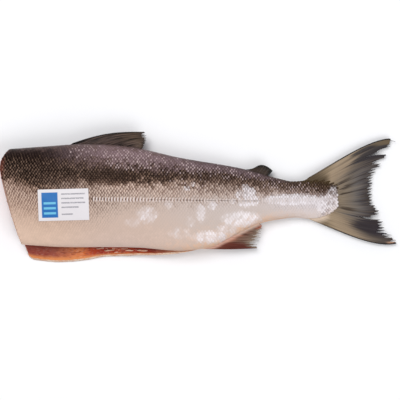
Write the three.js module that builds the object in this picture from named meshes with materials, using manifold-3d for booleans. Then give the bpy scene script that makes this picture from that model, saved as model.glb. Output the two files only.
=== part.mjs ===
// Raw sockeye salmon, headed and gutted, lying on its right side. Millimetres, +Z up.
// The fish lies along X with its tail towards +X and its back towards +Y.
// While it is built, X starts at the head cut and Y at the lateral line. The finished
// group is moved so that the middle of its underside is the origin.
import * as THREE from "three";
import { mergeVertices } from "three/addons/utils/BufferGeometryUtils.js";
import Module from "manifold-3d";

const { lerp, smoothstep } = THREE.MathUtils;

// Outline of the flank as [X, Y] knots
const BACK_LINE = [[0, 64], [40, 66.8], [100, 70], [162, 66.5], [224, 53], [299, 40], [349, 26.5],
  [367, 23.2], [394, 26], [412, 25], [421, 22]];
const BELLY_LINE = [[0, -55.5], [58, -58.4], [168, -59], [224, -62.8], [262, -58.4], [281, -49.4],
  [312, -33], [330, -26], [349, -22.5], [368, -20.3], [394, -22.5], [412, -16], [421, -9]];
const BODY_END = 421;

// Heights above the table as [X, Z] knots
const FLANK_TOP = [[0, 45], [60, 53], [120, 56], [190, 52], [250, 44], [300, 34.5], [345, 25],
  [367, 20.5], [394, 15.5], [421, 10.8]];
const MEDIAN = [[0, 23], [100, 27], [190, 25.5], [250, 22], [300, 18], [367, 12.5], [421, 9]];
const TAIL_LIFT = { from: 260, to: 7.2, power: 1.6 };
const FULLNESS = 0.75;
const FLATTENING = 7;
const FLOOR_EASE = 4;

// Slanted head cut
const CUT_LEAD_Y = 40;
const CUT_SLANT = 26;
const CUT_SLANT_OVER = 95;
const CUT_SLANT_POWER = 1.2;
const NAPE_ROUND = 0.019;
const CUT_FADE = 150;
const LOWER_CUT_BACK = 2.5;

// Belly slit, gut cavity and the two belly flaps
const VENT_X = 248;
const SLIT_CLOSING_X = 120;
const FLAP_DROP = [[0, 16.6], [4, 18.8], [16, 19.7], [40, 20.2], [56, 19.4], [70, 18.6], [95, 16.3], [118, 13],
  [150, 11.5], [188, 8.6], [230, 2.6], [248, 0]];
const CAVITY_DEPTH = [[0, 60], [120, 57], [200, 40], [235, 15], [248, 0]];
const CAVITY_FULLNESS = 0.8;
const UPPER_EDGE_Z = 20;
const LOWER_EDGE_Z = 1;
const UPPER_FLAP = 5;
const LOWER_FLAP = 4;
const KEEL = 5;
const KEEL_ROUND = 1.5;

// Fins
const FIN_SINK = 7;
const DORSAL = { rays: 12, front: 84, rear: 170, lift: 5.5 };
const DORSAL_TIPS = [[179, 85.4], [187, 78], [176, 64]];
const ANAL = { rays: 13, front: 248, rear: 316, lift: -1 };
const ANAL_TIPS = [[320, -60.3], [329, -45], [326, -31]];
const ADIPOSE = { front: 302, rear: 330 };
const ADIPOSE_TIPS = [[316, 39.2], [326, 50.5], [340, 37]];
const TAIL_RAYS = 19;
const TAIL_ROOT = { x: 372, upper: 20.5, lower: -18, reach: 34 };
const TAIL_TOP_Y = 77.4;
const TAIL_FOOT_Y = -54;
const TAIL_EDGE = [[0, 489], [0.08, 486], [0.17, 482], [0.28, 470], [0.38, 463], [0.5, 462],
  [0.62, 466], [0.72, 473], [0.82, 477], [0.92, 488], [1, 496]];
const TAIL_BOW = { upper: 7.3, lower: -8.6, skew: 1.8, blunt: 0.7 };
const TAIL_TIP_Z = 5.5;
const TAIL_SPLITS = [[0.12, 0.035, 0.26], [0.745, 0.02, 0.28]];
const FRAYING = 0.07;

// Paper label on the upper flank
const LABEL_SIZE = [63, 39];
const LABEL_AT = [80, -5.6];
const LABEL_TURN = 1.5;
const LABEL_GAP = 0.35;
const LABEL_THICKNESS = 0.3;

// Fineness of the facets
const FLANK_STEPS = 13;
const SLOT_STEPS = 10;
const BODY_STEPS = 62;
const CUT_ROWS = 4;

// A smooth function through [x, y] knots, level beyond the last ones.
function through(knots) {
  const last = knots.length - 1;
  const slope = knots.map((_, i) => {
    const [x0, y0] = knots[Math.max(0, i - 1)];
    const [x1, y1] = knots[Math.min(last, i + 1)];
    return (y1 - y0) / (x1 - x0);
  });
  return (x) => {
    if (x <= knots[0][0]) return knots[0][1];
    if (x >= knots[last][0]) return knots[last][1];
    const i = knots.findIndex((k) => k[0] > x) - 1;
    const [x0, y0] = knots[i];
    const [x1, y1] = knots[i + 1];
    const h = x1 - x0;
    const t = (x - x0) / h;
    const blend = t * t * (3 - 2 * t);
    const pull = slope[i] * h * t * (1 - t) ** 2 - slope[i + 1] * h * t * t * (1 - t);
    return lerp(y0, y1, blend) + pull;
  };
}

const back = through(BACK_LINE);
const belly = through(BELLY_LINE);
const flankTop = through(FLANK_TOP);
const median = through(MEDIAN);
const underside = (X) => {
  const t = Math.max(0, (X - TAIL_LIFT.from) / (BODY_END - TAIL_LIFT.from));
  return TAIL_LIFT.to * t ** TAIL_LIFT.power;
};
const flapDrop = through(FLAP_DROP);
const cavityDepth = through(CAVITY_DEPTH);
const openness = (X) => 1 - smoothstep(X, SLIT_CLOSING_X, VENT_X);

// A steady number from 0 to 1 that differs from one whole number to the next.
function uneven(n) {
  const s = Math.sin(n * 12.9898) * 43758.5453;
  return s - Math.floor(s);
}

// How far behind the foremost point of the head cut the cut lies at height Y.
function cutBack(Y) {
  if (Y > CUT_LEAD_Y) return NAPE_ROUND * (Y - CUT_LEAD_Y) ** 2;
  return CUT_SLANT * ((CUT_LEAD_Y - Y) / CUT_SLANT_OVER) ** CUT_SLANT_POWER;
}

// The lead of a station over its X where the cut slants: 1 at the cut, 0 well behind it.
const slantAt = (X) => Math.max(0, 1 - X / CUT_FADE);

// Heights of the outer and inner lips of both flaps at a station.
function lips(X) {
  const open = openness(X);
  const mid = median(X);
  const upperOut = lerp(mid + KEEL / 2, UPPER_EDGE_Z, open);
  const lowerOut = lerp(mid - KEEL / 2, LOWER_EDGE_Z, open);
  return {
    upperOut,
    lowerOut,
    upperIn: upperOut - lerp(KEEL / 3, UPPER_FLAP, open),
    lowerIn: lowerOut + lerp(KEEL / 3, LOWER_FLAP, open),
  };
}

// A point of the upper flank: w is 0 at the belly and 1 at the ridge of the back.
function upperFlank(X, w) {
  const s = (1 - Math.cos(Math.PI * w)) / 2;
  const lip = lips(X).upperOut;
  const bulge = flankTop(X) - (lip + median(X)) / 2;
  const z = lerp(lip, median(X), s) + bulge * Math.abs(Math.sin(Math.PI * w)) ** FULLNESS;
  return [lerp(belly(X), back(X), s), z];
}

// A height that eases into the table and lies flat on it where it would sink in.
function onTable(rise) {
  if (rise > FLOOR_EASE) return rise;
  return Math.max(0, rise + FLOOR_EASE) ** 2 / (4 * FLOOR_EASE);
}

// A point of the lower flank: w is 0 at the ridge of the back and 1 at the belly.
function lowerFlank(X, w) {
  const s = (1 - Math.cos(Math.PI * w)) / 2;
  const lip = lips(X).lowerOut;
  const floor = underside(X);
  const bulge = (median(X) + lip) / 2 - floor + FLATTENING * slantAt(X / 2.6);
  const z = lerp(median(X), lip, s) - bulge * Math.abs(Math.sin(Math.PI * w)) ** FULLNESS;
  return [lerp(back(X), belly(X) - flapDrop(X), s), floor + onTable(z - floor)];
}

// A point of the wall of the gut cavity: q is 0 at the lower lip and 1 at the upper lip.
// Behind the vent the same points round off the keel of the belly.
function cavityWall(X, q) {
  const s = (1 - Math.cos(Math.PI * q)) / 2;
  const { upperIn, lowerIn } = lips(X);
  const depth = X < VENT_X ? cavityDepth(X) : -KEEL_ROUND * smoothstep(X, VENT_X, VENT_X + 12);
  const y = lerp(belly(X) - flapDrop(X), belly(X), s);
  return [y + depth * Math.sin(Math.PI * q) ** CAVITY_FULLNESS, lerp(lowerIn, upperIn, s)];
}

// One closed ring of body points at a station.
function ring(X) {
  const points = [];
  const add = ([y, z], lower) => {
    const shift = (cutBack(y) + LOWER_CUT_BACK * lower) * slantAt(X);
    points.push(new THREE.Vector3(X + shift, y, z));
  };
  for (let k = 0; k <= FLANK_STEPS; k++) add(upperFlank(X, k / FLANK_STEPS), 0);
  for (let k = 1; k <= FLANK_STEPS; k++) add(lowerFlank(X, k / FLANK_STEPS), (k / FLANK_STEPS) ** 2);
  for (let k = 0; k <= SLOT_STEPS; k++) {
    const q = k / SLOT_STEPS;
    add(cavityWall(X, q), 1 - smoothstep(q, 0, 1));
  }
  return points;
}

// A closed geometry from points and triangles, turned so that its faces point outwards.
function geometryOf(points, faces) {
  let volume = 0;
  for (let i = 0; i < faces.length; i += 3) {
    const [a, b, c] = faces.slice(i, i + 3).map((k) => points[k]);
    volume += a.dot(b.clone().cross(c));
  }
  const geometry = new THREE.BufferGeometry().setFromPoints(points);
  geometry.setIndex(volume > 0 ? faces : faces.reverse());
  return geometry;
}

// Triangles of the strip between two rows of point numbers, which may differ in length.
function strip(a, b) {
  const faces = [];
  let [i, j] = [0, 0];
  while (i < a.length - 1 || j < b.length - 1) {
    const first = j === b.length - 1 || (i + 1) / (a.length - 1) <= (j + 1) / (b.length - 1);
    const next = first && i < a.length - 1 ? [a[i], a[++i], b[j]] : [a[i], b[j + 1], b[j++]];
    if (new Set(next).size === 3) faces.push(...next);
  }
  return faces;
}

// Faces of the head cut, in rows from the skin to the cavity so that they follow its slant.
// The points of the rows between are added to the list.
function headCut(points, size) {
  const skin = Array.from({ length: 2 * FLANK_STEPS + 1 }, (_, k) => k);
  const wall = Array.from({ length: SLOT_STEPS + 1 }, (_, k) => size - 1 - k);
  const rows = [skin];
  for (let m = 1; m < CUT_ROWS; m++)
    rows.push(
      skin.map((k) => {
        if (k === 0 || k === 2 * FLANK_STEPS) return k;
        const t = m / CUT_ROWS;
        const inner = cavityWall(0, 1 - k / (2 * FLANK_STEPS));
        const [y, z] = [lerp(points[k].y, inner[0], t), lerp(points[k].z, inner[1], t)];
        const lower = smoothstep(k / (2 * FLANK_STEPS), 0.4, 1);
        points.push(new THREE.Vector3(cutBack(y) + LOWER_CUT_BACK * lower, y, z));
        return points.length - 1;
      }),
    );
  rows.push(wall);
  return rows.slice(1).flatMap((row, m) => strip(rows[m], row));
}

// Faces that close the tail end of the body.
function tailCap(points, start) {
  const flat = points.map((p) => new THREE.Vector2(p.y, p.z));
  const turn = ([a, b, c]) => {
    const area = flat[b].clone().sub(flat[a]).cross(flat[c].clone().sub(flat[a]));
    return area > 0 ? [a, b, c] : [a, c, b];
  };
  return THREE.ShapeUtils.triangulateShape(flat, []).flatMap((f) => turn(f).map((i) => i + start));
}

function bodyGeometry() {
  const points = [];
  const faces = [];
  let size = 0;
  for (let i = 0; i <= BODY_STEPS; i++) {
    const t = i / BODY_STEPS;
    const one = ring(BODY_END * lerp(t, t * t * (3 - 2 * t), 0.35));
    size = one.length;
    points.push(...one);
    if (i === BODY_STEPS) faces.push(...tailCap(one, i * size));
  }
  faces.push(...headCut(points, size));
  for (let i = 0; i < BODY_STEPS; i++)
    for (let j = 0; j < size; j++) {
      const next = (j + 1) % size;
      const [a, b] = [i * size + j, i * size + next];
      const [c, d] = [a + size, b + size];
      faces.push(a, c, d, a, d, b);
    }
  return geometryOf(points, faces);
}

// A thin solid between two sheets of (m + 1) x (n + 1) points; at(i, j, side) gives each point.
function slab(m, n, at) {
  const points = [];
  for (const side of [1, -1])
    for (let i = 0; i <= m; i++) for (let j = 0; j <= n; j++) points.push(at(i, j, side));
  const faces = [];
  const low = (m + 1) * (n + 1);
  const id = (i, j) => i * (n + 1) + j;
  for (let i = 0; i < m; i++)
    for (let j = 0; j < n; j++) {
      const [a, b, c, d] = [id(i, j), id(i + 1, j), id(i + 1, j + 1), id(i, j + 1)];
      faces.push(a, b, c, a, c, d, a + low, c + low, b + low, a + low, d + low, c + low);
    }
  const wall = (a, b) => faces.push(a, a + low, b + low, a, b + low, b);
  for (let i = 0; i < m; i++) {
    wall(id(i, 0), id(i + 1, 0));
    wall(id(i + 1, n), id(i, n));
  }
  for (let j = 0; j < n; j++) {
    wall(id(0, j + 1), id(0, j));
    wall(id(m, j), id(m, j + 1));
  }
  return geometryOf(points, faces);
}

// A fin as a fan of rays: a runs from the first ray to the last, r from root to tip.
function fin({ rays, perRay, along, root, edge, relief, base, tip, bow, height, reach }) {
  const across = rays * perRay;
  return slab(across, along, (i, j, side) => {
    const a = i / across;
    const onRay = Math.cos(Math.PI * a * rays) ** 2;
    const r = (j / along) * reach(a, onRay);
    const p = base(a).lerp(tip(a), r);
    p.y += bow(a, r);
    const half = (lerp(root, edge, r) / 2) * (1 + relief * (onRay - 0.5));
    return new THREE.Vector3(p.x, p.y, height(p.x, p.y, a, r) + side * half);
  });
}

const bend = (knots) =>
  new THREE.QuadraticBezierCurve(...knots.map(([x, y]) => new THREE.Vector2(x, y)));

// The share of the full sinking of a fin's root: the first ray starts at the skin itself.
const sunk = (a) => lerp(0.15, 1, smoothstep(a, 0, 0.3));

// The frayed end of a ray fan: ray tips stand out, the skin between them is torn back.
const frayed = (rays, amount) => (a, onRay) => {
  const inside = smoothstep(Math.min(a, 1 - a), 0.03, 0.15);
  return 1 - amount * inside * ((1 - onRay) * 0.6 + uneven(Math.round(a * rays) + rays));
};

function dorsalFin() {
  const tips = bend(DORSAL_TIPS);
  return fin({
    rays: DORSAL.rays,
    perRay: 3,
    along: 7,
    root: 4,
    edge: 1.2,
    relief: 0.4,
    base: (a) => {
      const x = lerp(DORSAL.front, DORSAL.rear, a);
      return new THREE.Vector2(x, back(x) - FIN_SINK * sunk(a));
    },
    tip: (a) => tips.getPoint(a),
    bow: (a, r) => DORSAL.lift * (1 - a) * Math.sin(Math.PI * r),
    height: (x, y, a, r) => median(x) - 0.1 * (y - back(x)) + 0.8 * Math.sin(5 * a + 4 * r) * r,
    reach: frayed(DORSAL.rays, FRAYING * 0.6),
  });
}

function analFin() {
  const tips = bend(ANAL_TIPS);
  return fin({
    rays: ANAL.rays,
    perRay: 3,
    along: 7,
    root: 4,
    edge: 1.2,
    relief: 0.4,
    base: (a) => {
      const x = lerp(ANAL.front, ANAL.rear, a);
      return new THREE.Vector2(x, belly(x) + FIN_SINK * sunk(a));
    },
    tip: (a) => tips.getPoint(a),
    bow: (a, r) => ANAL.lift * (1 - a) * Math.sin(Math.PI * r),
    height: (x, y, a, r) => median(x) + 0.12 * (y - belly(x)) + 0.8 * Math.sin(4 * a + 3 * r) * r,
    reach: frayed(ANAL.rays, FRAYING),
  });
}

function adiposeFin() {
  const tips = bend(ADIPOSE_TIPS);
  return fin({
    rays: 8,
    perRay: 1,
    along: 4,
    root: 4,
    edge: 1.6,
    relief: 0,
    base: (a) => {
      const x = lerp(ADIPOSE.front, ADIPOSE.rear, a);
      return new THREE.Vector2(x, back(x) - FIN_SINK * sunk(a));
    },
    tip: (a) => tips.getPoint(a),
    bow: () => 0,
    height: (x) => median(x),
    reach: () => 1,
  });
}

function tailFin() {
  const fray = frayed(TAIL_RAYS, FRAYING * 0.6);
  const edge = through(TAIL_EDGE);
  const { upper, lower, skew, blunt } = TAIL_BOW;
  const split = (a) =>
    TAIL_SPLITS.reduce((cut, [at, half, depth]) => cut + depth * Math.max(0, 1 - Math.abs(a - at) / half), 0);
  return fin({
    rays: TAIL_RAYS,
    perRay: 3,
    along: 10,
    root: 6,
    edge: 1.2,
    relief: 0.4,
    base: (a) => {
      const x = TAIL_ROOT.x + TAIL_ROOT.reach * Math.sin(Math.PI * a);
      return new THREE.Vector2(x, lerp(TAIL_ROOT.upper, TAIL_ROOT.lower, a));
    },
    tip: (a) => new THREE.Vector2(edge(a), lerp(TAIL_TOP_Y, TAIL_FOOT_Y, a)),
    bow: (a, r) => lerp(upper, lower, a) * Math.abs(Math.sin(Math.PI * r ** skew)) ** blunt,
    height: (x, y, a, r) => lerp(median(x), TAIL_TIP_Z, r) + 1.2 * Math.sin(7 * a + 2 * r) * r,
    reach: (a, onRay) => fray(a, onRay) - split(a),
  });
}

// Height of the upper flank over a point of the plan view.
function flankHeight(x, y) {
  const shift = cutBack(y);
  const X = x < CUT_FADE ? (x - shift) / (1 - shift / CUT_FADE) : x;
  const s = (y - belly(X)) / (back(X) - belly(X));
  return upperFlank(X, Math.acos(1 - 2 * s) / Math.PI)[1];
}

function labelGeometry() {
  const [m, n] = [14, 10];
  const turn = THREE.MathUtils.degToRad(LABEL_TURN);
  return slab(m, n, (i, j, side) => {
    const p = new THREE.Vector2((i / m - 0.5) * LABEL_SIZE[0], (j / n - 0.5) * LABEL_SIZE[1]);
    p.rotateAround(new THREE.Vector2(), turn);
    const [x, y] = [LABEL_AT[0] + p.x, LABEL_AT[1] + p.y];
    const rise = LABEL_GAP + (side > 0 ? LABEL_THICKNESS : 0);
    return new THREE.Vector3(x, y, flankHeight(x, y) + rise);
  });
}

const wasm = await Module();
wasm.setup();

function solidOf(geometry) {
  const merged = mergeVertices(geometry, 1e-4);
  return new wasm.Manifold(
    new wasm.Mesh({
      numProp: 3,
      vertProperties: merged.attributes.position.array,
      triVerts: new Uint32Array(merged.index.array),
    }),
  );
}

function geometryFrom(solid) {
  const mesh = solid.getMesh();
  const geometry = new THREE.BufferGeometry();
  geometry.setAttribute("position", new THREE.BufferAttribute(mesh.vertProperties, 3));
  geometry.setIndex(new THREE.BufferAttribute(mesh.triVerts, 1));
  return geometry;
}

function mesh(name, geometry, colour, roughness) {
  geometry.computeVertexNormals();
  const made = new THREE.Mesh(
    geometry,
    new THREE.MeshStandardMaterial({ color: colour, roughness, flatShading: true }),
  );
  made.name = name;
  return made;
}

const fish = [dorsalFin(), analFin(), adiposeFin(), tailFin()].reduce(
  (joined, one) => joined.add(solidOf(one)),
  solidOf(bodyGeometry()),
);

const part = new THREE.Group();
part.name = "sockeye_salmon";
part.add(mesh("salmon", geometryFrom(fish.simplify(0.01)), 0x8d8078, 0.45));
part.add(mesh("label", labelGeometry(), 0xf2f2f0, 0.7));

const box = new THREE.Box3().setFromObject(part);
const centre = box.getCenter(new THREE.Vector3());
part.children.forEach((child) => child.geometry.translate(-centre.x, -centre.y, -box.min.z));

export default part;
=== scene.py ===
"""Visual model of a headed and gutted sockeye salmon: body, scales, fins, belly lining and a paper label."""

from __future__ import annotations

import logging
import math
from dataclasses import dataclass, replace
from enum import Enum
from functools import reduce
from typing import Any, Sequence

import bpy
import numpy as np
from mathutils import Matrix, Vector

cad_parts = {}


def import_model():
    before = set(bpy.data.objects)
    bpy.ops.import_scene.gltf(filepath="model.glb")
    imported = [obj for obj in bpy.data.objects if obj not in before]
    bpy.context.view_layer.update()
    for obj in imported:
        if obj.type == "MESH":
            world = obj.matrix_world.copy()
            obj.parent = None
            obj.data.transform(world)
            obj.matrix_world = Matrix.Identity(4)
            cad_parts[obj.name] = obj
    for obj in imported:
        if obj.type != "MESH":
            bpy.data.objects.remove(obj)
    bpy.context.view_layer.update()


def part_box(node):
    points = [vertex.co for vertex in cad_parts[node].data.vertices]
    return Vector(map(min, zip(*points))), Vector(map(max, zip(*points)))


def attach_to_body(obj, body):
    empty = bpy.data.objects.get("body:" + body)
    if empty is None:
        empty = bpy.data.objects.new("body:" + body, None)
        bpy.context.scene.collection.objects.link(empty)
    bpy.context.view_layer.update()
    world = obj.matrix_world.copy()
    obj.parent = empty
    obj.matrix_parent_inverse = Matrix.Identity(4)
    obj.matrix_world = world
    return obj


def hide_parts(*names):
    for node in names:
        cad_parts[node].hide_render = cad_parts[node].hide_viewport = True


LOG = logging.getLogger("salmon")
MM = 0.001
SEED = 11
Colour = tuple[float, float, float, float]
Stops = tuple[tuple[float, Colour], ...]
Pair = tuple[float, float]
Knots = tuple[Pair, ...]
Array = np.ndarray
Facts = dict[str, Array]
Piece = bpy.types.Object
Mesh = bpy.types.Mesh
Material = bpy.types.Material
Tree = bpy.types.NodeTree
Socket = bpy.types.NodeSocket


# Small helpers for numbers


def srgb(red: float, green: float, blue: float) -> Colour:
    """The linear colour that shaders use, from a colour as seen on a screen with 0 to 255 in each channel."""
    shares = [channel / 255 for channel in (red, green, blue)]
    return (*[c / 12.92 if c <= 0.04045 else ((c + 0.055) / 1.055) ** 2.4 for c in shares], 1.0)


def tones(*stops: tuple[float, float, float, float]) -> Stops:
    """A run of colours from places with red, green and blue as seen on a screen."""
    return tuple((place, srgb(*colour)) for place, *colour in stops)


def between(low: Any, high: Any, share: Any) -> Any:
    """The value that lies a share of the way from low to high."""
    return low + (high - low) * share


def ease(value: Any, low: float, high: float) -> Any:
    """A smooth step from 0 at low to 1 at high."""
    share = np.clip((value - low) / (high - low), 0.0, 1.0)
    return share * share * (3 - 2 * share)


def uneven(number: Any) -> Any:
    """A steady value from 0 to 1 that differs from one whole number to the next."""
    wave = np.sin(number * 12.9898) * 43758.5453
    return wave - np.floor(wave)


def ripple(across: Array, along: Array, turn: float) -> Array:
    """An irregular swell from about -1 to 1 made of a few crossing waves.

    Args:
        across: First coordinate, in wave lengths.
        along: Second coordinate, in wave lengths.
        turn: A phase that makes one swell differ from the next.

    Returns:
        The swell at each place.
    """
    first = np.sin(6.28 * across + 2.1 * np.sin(3.9 * along + turn))
    second = np.sin(5.1 * along - 3.3 * across + 1.7 * np.sin(4.4 * across - turn))
    return 0.55 * first + 0.45 * second * np.sin(9.7 * across + 7.9 * along + 2 * turn)


@dataclass(frozen=True)
class Profile:
    """A smooth line through a few known places along the fish."""

    knots: Knots

    def __call__(self, at: Any) -> Any:
        """Give the line's height.

        Args:
            at: The place or places along the line.

        Returns:
            The height at each place, level beyond the ends.
        """
        x, y = np.array(self.knots, dtype=float).T
        ends = np.arange(len(x))
        low, high = np.maximum(ends - 1, 0), np.minimum(ends + 1, len(x) - 1)
        slope = (y[high] - y[low]) / (x[high] - x[low])
        at = np.clip(at, x[0], x[-1])
        i = np.clip(np.searchsorted(x, at, side="right") - 1, 0, len(x) - 2)
        span = x[i + 1] - x[i]
        t = (at - x[i]) / span
        pull = slope[i] * span * t * (1 - t) ** 2 - slope[i + 1] * span * t * t * (1 - t)
        return between(y[i], y[i + 1], t * t * (3 - 2 * t)) + pull


# Small helpers for nodes


class Wiring:
    """Adds nodes to one tree and joins them."""

    def __init__(self, tree: Tree) -> None:
        """Work on a tree."""
        self.tree = tree

    @classmethod
    def group(cls, name: str, kind: str, inputs: Sequence[tuple], outputs: dict[str, str]) -> Wiring:
        """Start a node group with named inputs and outputs.

        Args:
            name: The group's name.
            kind: The type of the tree.
            inputs: Names, socket types and, where there is one, default values.
            outputs: Names and socket types.

        Returns:
            The wiring of the new group.
        """
        tree = bpy.data.node_groups.new(name, kind)
        for label, socket, *value in inputs:
            made = tree.interface.new_socket(label, in_out="INPUT", socket_type=f"NodeSocket{socket}")
            if value:
                made.default_value = value[0]
        for label, socket in outputs.items():
            tree.interface.new_socket(label, in_out="OUTPUT", socket_type=f"NodeSocket{socket}")
        return cls(tree)

    def join(self, node: bpy.types.Node, inputs: dict) -> None:
        """Give a node its inputs.

        Args:
            node: The node.
            inputs: Values or sockets by input name or number.
        """
        for key, value in inputs.items():
            if isinstance(value, Socket):
                self.tree.links.new(value, node.inputs[key])
            else:
                node.inputs[key].default_value = value

    def node(self, kind: str, inputs: dict | None = None, **settings: Any) -> bpy.types.Node:
        """Add a node, set it up and join its inputs.

        Args:
            kind: The node's type name.
            inputs: Values or sockets by input name or number.
            settings: Properties of the node.

        Returns:
            The new node.
        """
        node = self.tree.nodes.new(kind)
        for key, value in settings.items():
            setattr(node, key, value)
        self.join(node, inputs or {})
        return node

    def out(self, kind: str, inputs: dict | None = None, at: int | str = 0, **settings: Any) -> Socket:
        """One output of a new node, the first if no other is named."""
        return self.node(kind, inputs, **settings).outputs[at]

    def shared(self, name: str, inputs: dict) -> Sequence[Socket]:
        """The outputs of a shared effect, placed in this tree."""
        return self.node("ShaderNodeGroup", inputs, node_tree=bpy.data.node_groups[name]).outputs

    def sum(self, operation: str, first: Any, second: Any = 0.0) -> Socket:
        """The result of one sum on two values or sockets."""
        return self.out("ShaderNodeMath", {0: first, 1: second}, operation=operation)

    def plus(self, first: Any, second: Any) -> Socket:
        """Two values or sockets added up."""
        return self.sum("ADD", first, second)

    def minus(self, first: Any, second: Any) -> Socket:
        """The first value or socket without the second."""
        return self.sum("SUBTRACT", first, second)

    def less(self, value: Any) -> Socket:
        """What is left of 1."""
        return self.minus(1.0, value)

    def times(self, *values: Any) -> Any:
        """The product of two or more values and sockets."""
        return reduce(lambda product, value: self.sum("MULTIPLY", product, value), values)

    def mask(self, value: Socket, low: float, high: float) -> Socket:
        """A smooth 0 to 1 mask between two values of a socket."""
        inputs = {"Value": value, "From Min": low, "From Max": high}
        return self.out("ShaderNodeMapRange", inputs, interpolation_type="SMOOTHSTEP")

    def mix(self, share: Any, first: Any, second: Any, how: str = "MIX") -> Socket:
        """The first colour with a share of the second laid over it."""
        return self.out("ShaderNodeMix", {0: share, 6: first, 7: second}, 2, data_type="RGBA", blend_type=how)

    def ramp(self, share: Socket, stops: Stops) -> Socket:
        """A run of colours along a value.

        Args:
            share: The value from 0 to 1.
            stops: Places and colours.

        Returns:
            The colour at the value.
        """
        node = self.node("ShaderNodeValToRGB", {0: share})
        elements = node.color_ramp.elements
        while len(elements) < len(stops):
            elements.new(1.0)
        for element, (place, colour) in zip(elements, stops):
            element.position = place
            element.color = colour
        return node.outputs[0]

    def read(self, *names: str) -> list[Socket]:
        """Numbers that the mesh carries under names."""
        return [self.out("ShaderNodeAttribute", at="Fac", attribute_name=name) for name in names]

    def noise(self, place: Socket, scale: Any, detail: float = 3.0) -> Socket:
        """Cloudy noise from 0 to 1 at a place."""
        return self.out("ShaderNodeTexNoise", {"Vector": place, "Scale": scale, "Detail": detail})

    def vector(self, x: Any, y: Any, z: Any = 0.0) -> Socket:
        """A vector of three values or sockets."""
        return self.out("ShaderNodeCombineXYZ", {0: x, 1: y, 2: z})

    def place(self) -> Socket:
        """The piece's own coordinates in metres."""
        return self.out("ShaderNodeTexCoord", at="Object")


def new_material(name: str) -> tuple[Material, Wiring, bpy.types.Node]:
    """Start a material.

    Args:
        name: The material's name.

    Returns:
        The material, its wiring and its shader.
    """
    material = bpy.data.materials.new(name)
    material.use_nodes = True
    return material, Wiring(material.node_tree), material.node_tree.nodes["Principled BSDF"]


# Small helpers for meshes


def new_object(name: str, mesh: Mesh, *finishes: Material) -> Piece:
    """Put a mesh into the scene as an object at the origin.

    Args:
        name: The object's name.
        mesh: The mesh.
        finishes: The mesh's materials in order.

    Returns:
        The object.
    """
    for finish in finishes:
        mesh.materials.append(finish)
    made = bpy.data.objects.new(name, mesh)
    bpy.context.scene.collection.objects.link(made)
    return made


def new_mesh(name: str, points: Array, faces: Sequence, edges: Sequence = ()) -> Mesh:
    """Make a smooth-shaded mesh.

    Args:
        name: The mesh's name.
        points: Points in metres.
        faces: Point numbers of each face.
        edges: Point numbers of each loose edge.

    Returns:
        The mesh.
    """
    mesh = bpy.data.meshes.new(name)
    mesh.from_pydata(np.asarray(points).tolist(), list(edges), list(faces))
    mesh.polygons.foreach_set("use_smooth", [True] * len(mesh.polygons))
    mesh.update()
    return mesh


def put_numbers(mesh: Mesh, facts: Facts) -> None:
    """Store numbers or vectors for each point of a mesh.

    Args:
        mesh: The mesh.
        facts: One row for each point, by the attribute's name.
    """
    for name, rows in facts.items():
        values = np.asarray(rows, dtype=np.float32)
        is_vector = values.ndim == 2
        made = mesh.attributes.new(name, "FLOAT_VECTOR" if is_vector else "FLOAT", "POINT")
        made.data.foreach_set("vector" if is_vector else "value", values.ravel())


def outward(points: Array, faces: list) -> list:
    """Turn the faces of a closed mesh so that they point outwards.

    Args:
        points: The mesh's points.
        faces: Point numbers of each face, all wound the same way.

    Returns:
        The faces, wound so that the volume is positive.
    """
    volume = 0.0
    for face in faces:
        for b, c in zip(face[1:-1], face[2:]):
            volume += float(np.dot(points[face[0]], np.cross(points[b], points[c])))
    return faces if volume > 0 else [tuple(reversed(face)) for face in faces]


def quads(number: Array) -> Array:
    """Point numbers of the faces between neighbours in a grid of point numbers."""
    corners = [number[:-1, :-1], number[1:, :-1], number[1:, 1:], number[:-1, 1:]]
    return np.stack(corners, axis=-1).reshape(-1, 4)


def slab(top: Array, foot: Array) -> tuple[Array, list]:
    """Close two matching grids of points into one thin solid.

    Args:
        top: Points of the upper sheet, rows by columns.
        foot: Points of the lower sheet, in the same order.

    Returns:
        All points and the faces, which point outwards.
    """
    points = np.concatenate([top.reshape(-1, 3), foot.reshape(-1, 3)])
    low = len(points) // 2
    number = np.arange(low).reshape(top.shape[:2])
    rim = np.concatenate([number[:, 0], number[-1, 1:], number[-2::-1, -1], number[0, -2:0:-1]])
    after = np.roll(rim, -1)
    walls = np.stack([after, rim, rim + low, after + low], axis=1)
    faces = np.concatenate([quads(number), quads(number)[:, ::-1] + low, walls]).tolist()
    return points, outward(points, faces)


def attach(piece: Piece, node: str = "salmon") -> None:
    """Let a finished piece stand for a node of the frame.

    Args:
        piece: The finished piece.
        node: The node that it stands for.
    """
    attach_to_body(piece, "root")
    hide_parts(node)
    LOG.info("%s: %d faces", piece.name, len(piece.data.polygons))


def grown(source: Piece, tree: Tree, sizes: dict) -> Piece:
    """Run a geometry tree on an object and keep the result as a plain mesh.

    Args:
        source: The object with the points or paths, which is used up.
        tree: The geometry tree.
        sizes: Values of the tree's inputs by name.

    Returns:
        The finished object, under the source's name.
    """
    name = source.name
    grow = source.modifiers.new("grow", "NODES")
    grow.node_group = tree
    for item in tree.interface.items_tree:
        if item.in_out == "INPUT" and item.name in sizes:
            grow[item.identifier] = sizes[item.name]
    ready = source.evaluated_get(bpy.context.evaluated_depsgraph_get())
    mesh = bpy.data.meshes.new_from_object(ready)
    source.modifiers.remove(grow)
    bpy.data.objects.remove(source)
    mesh.name = name
    return new_object(name, mesh)


# The shape of the fish


class Side(Enum):
    """The two flanks of a fish that lies on its right side."""

    UPPER = "left"
    LOWER = "right"


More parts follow.
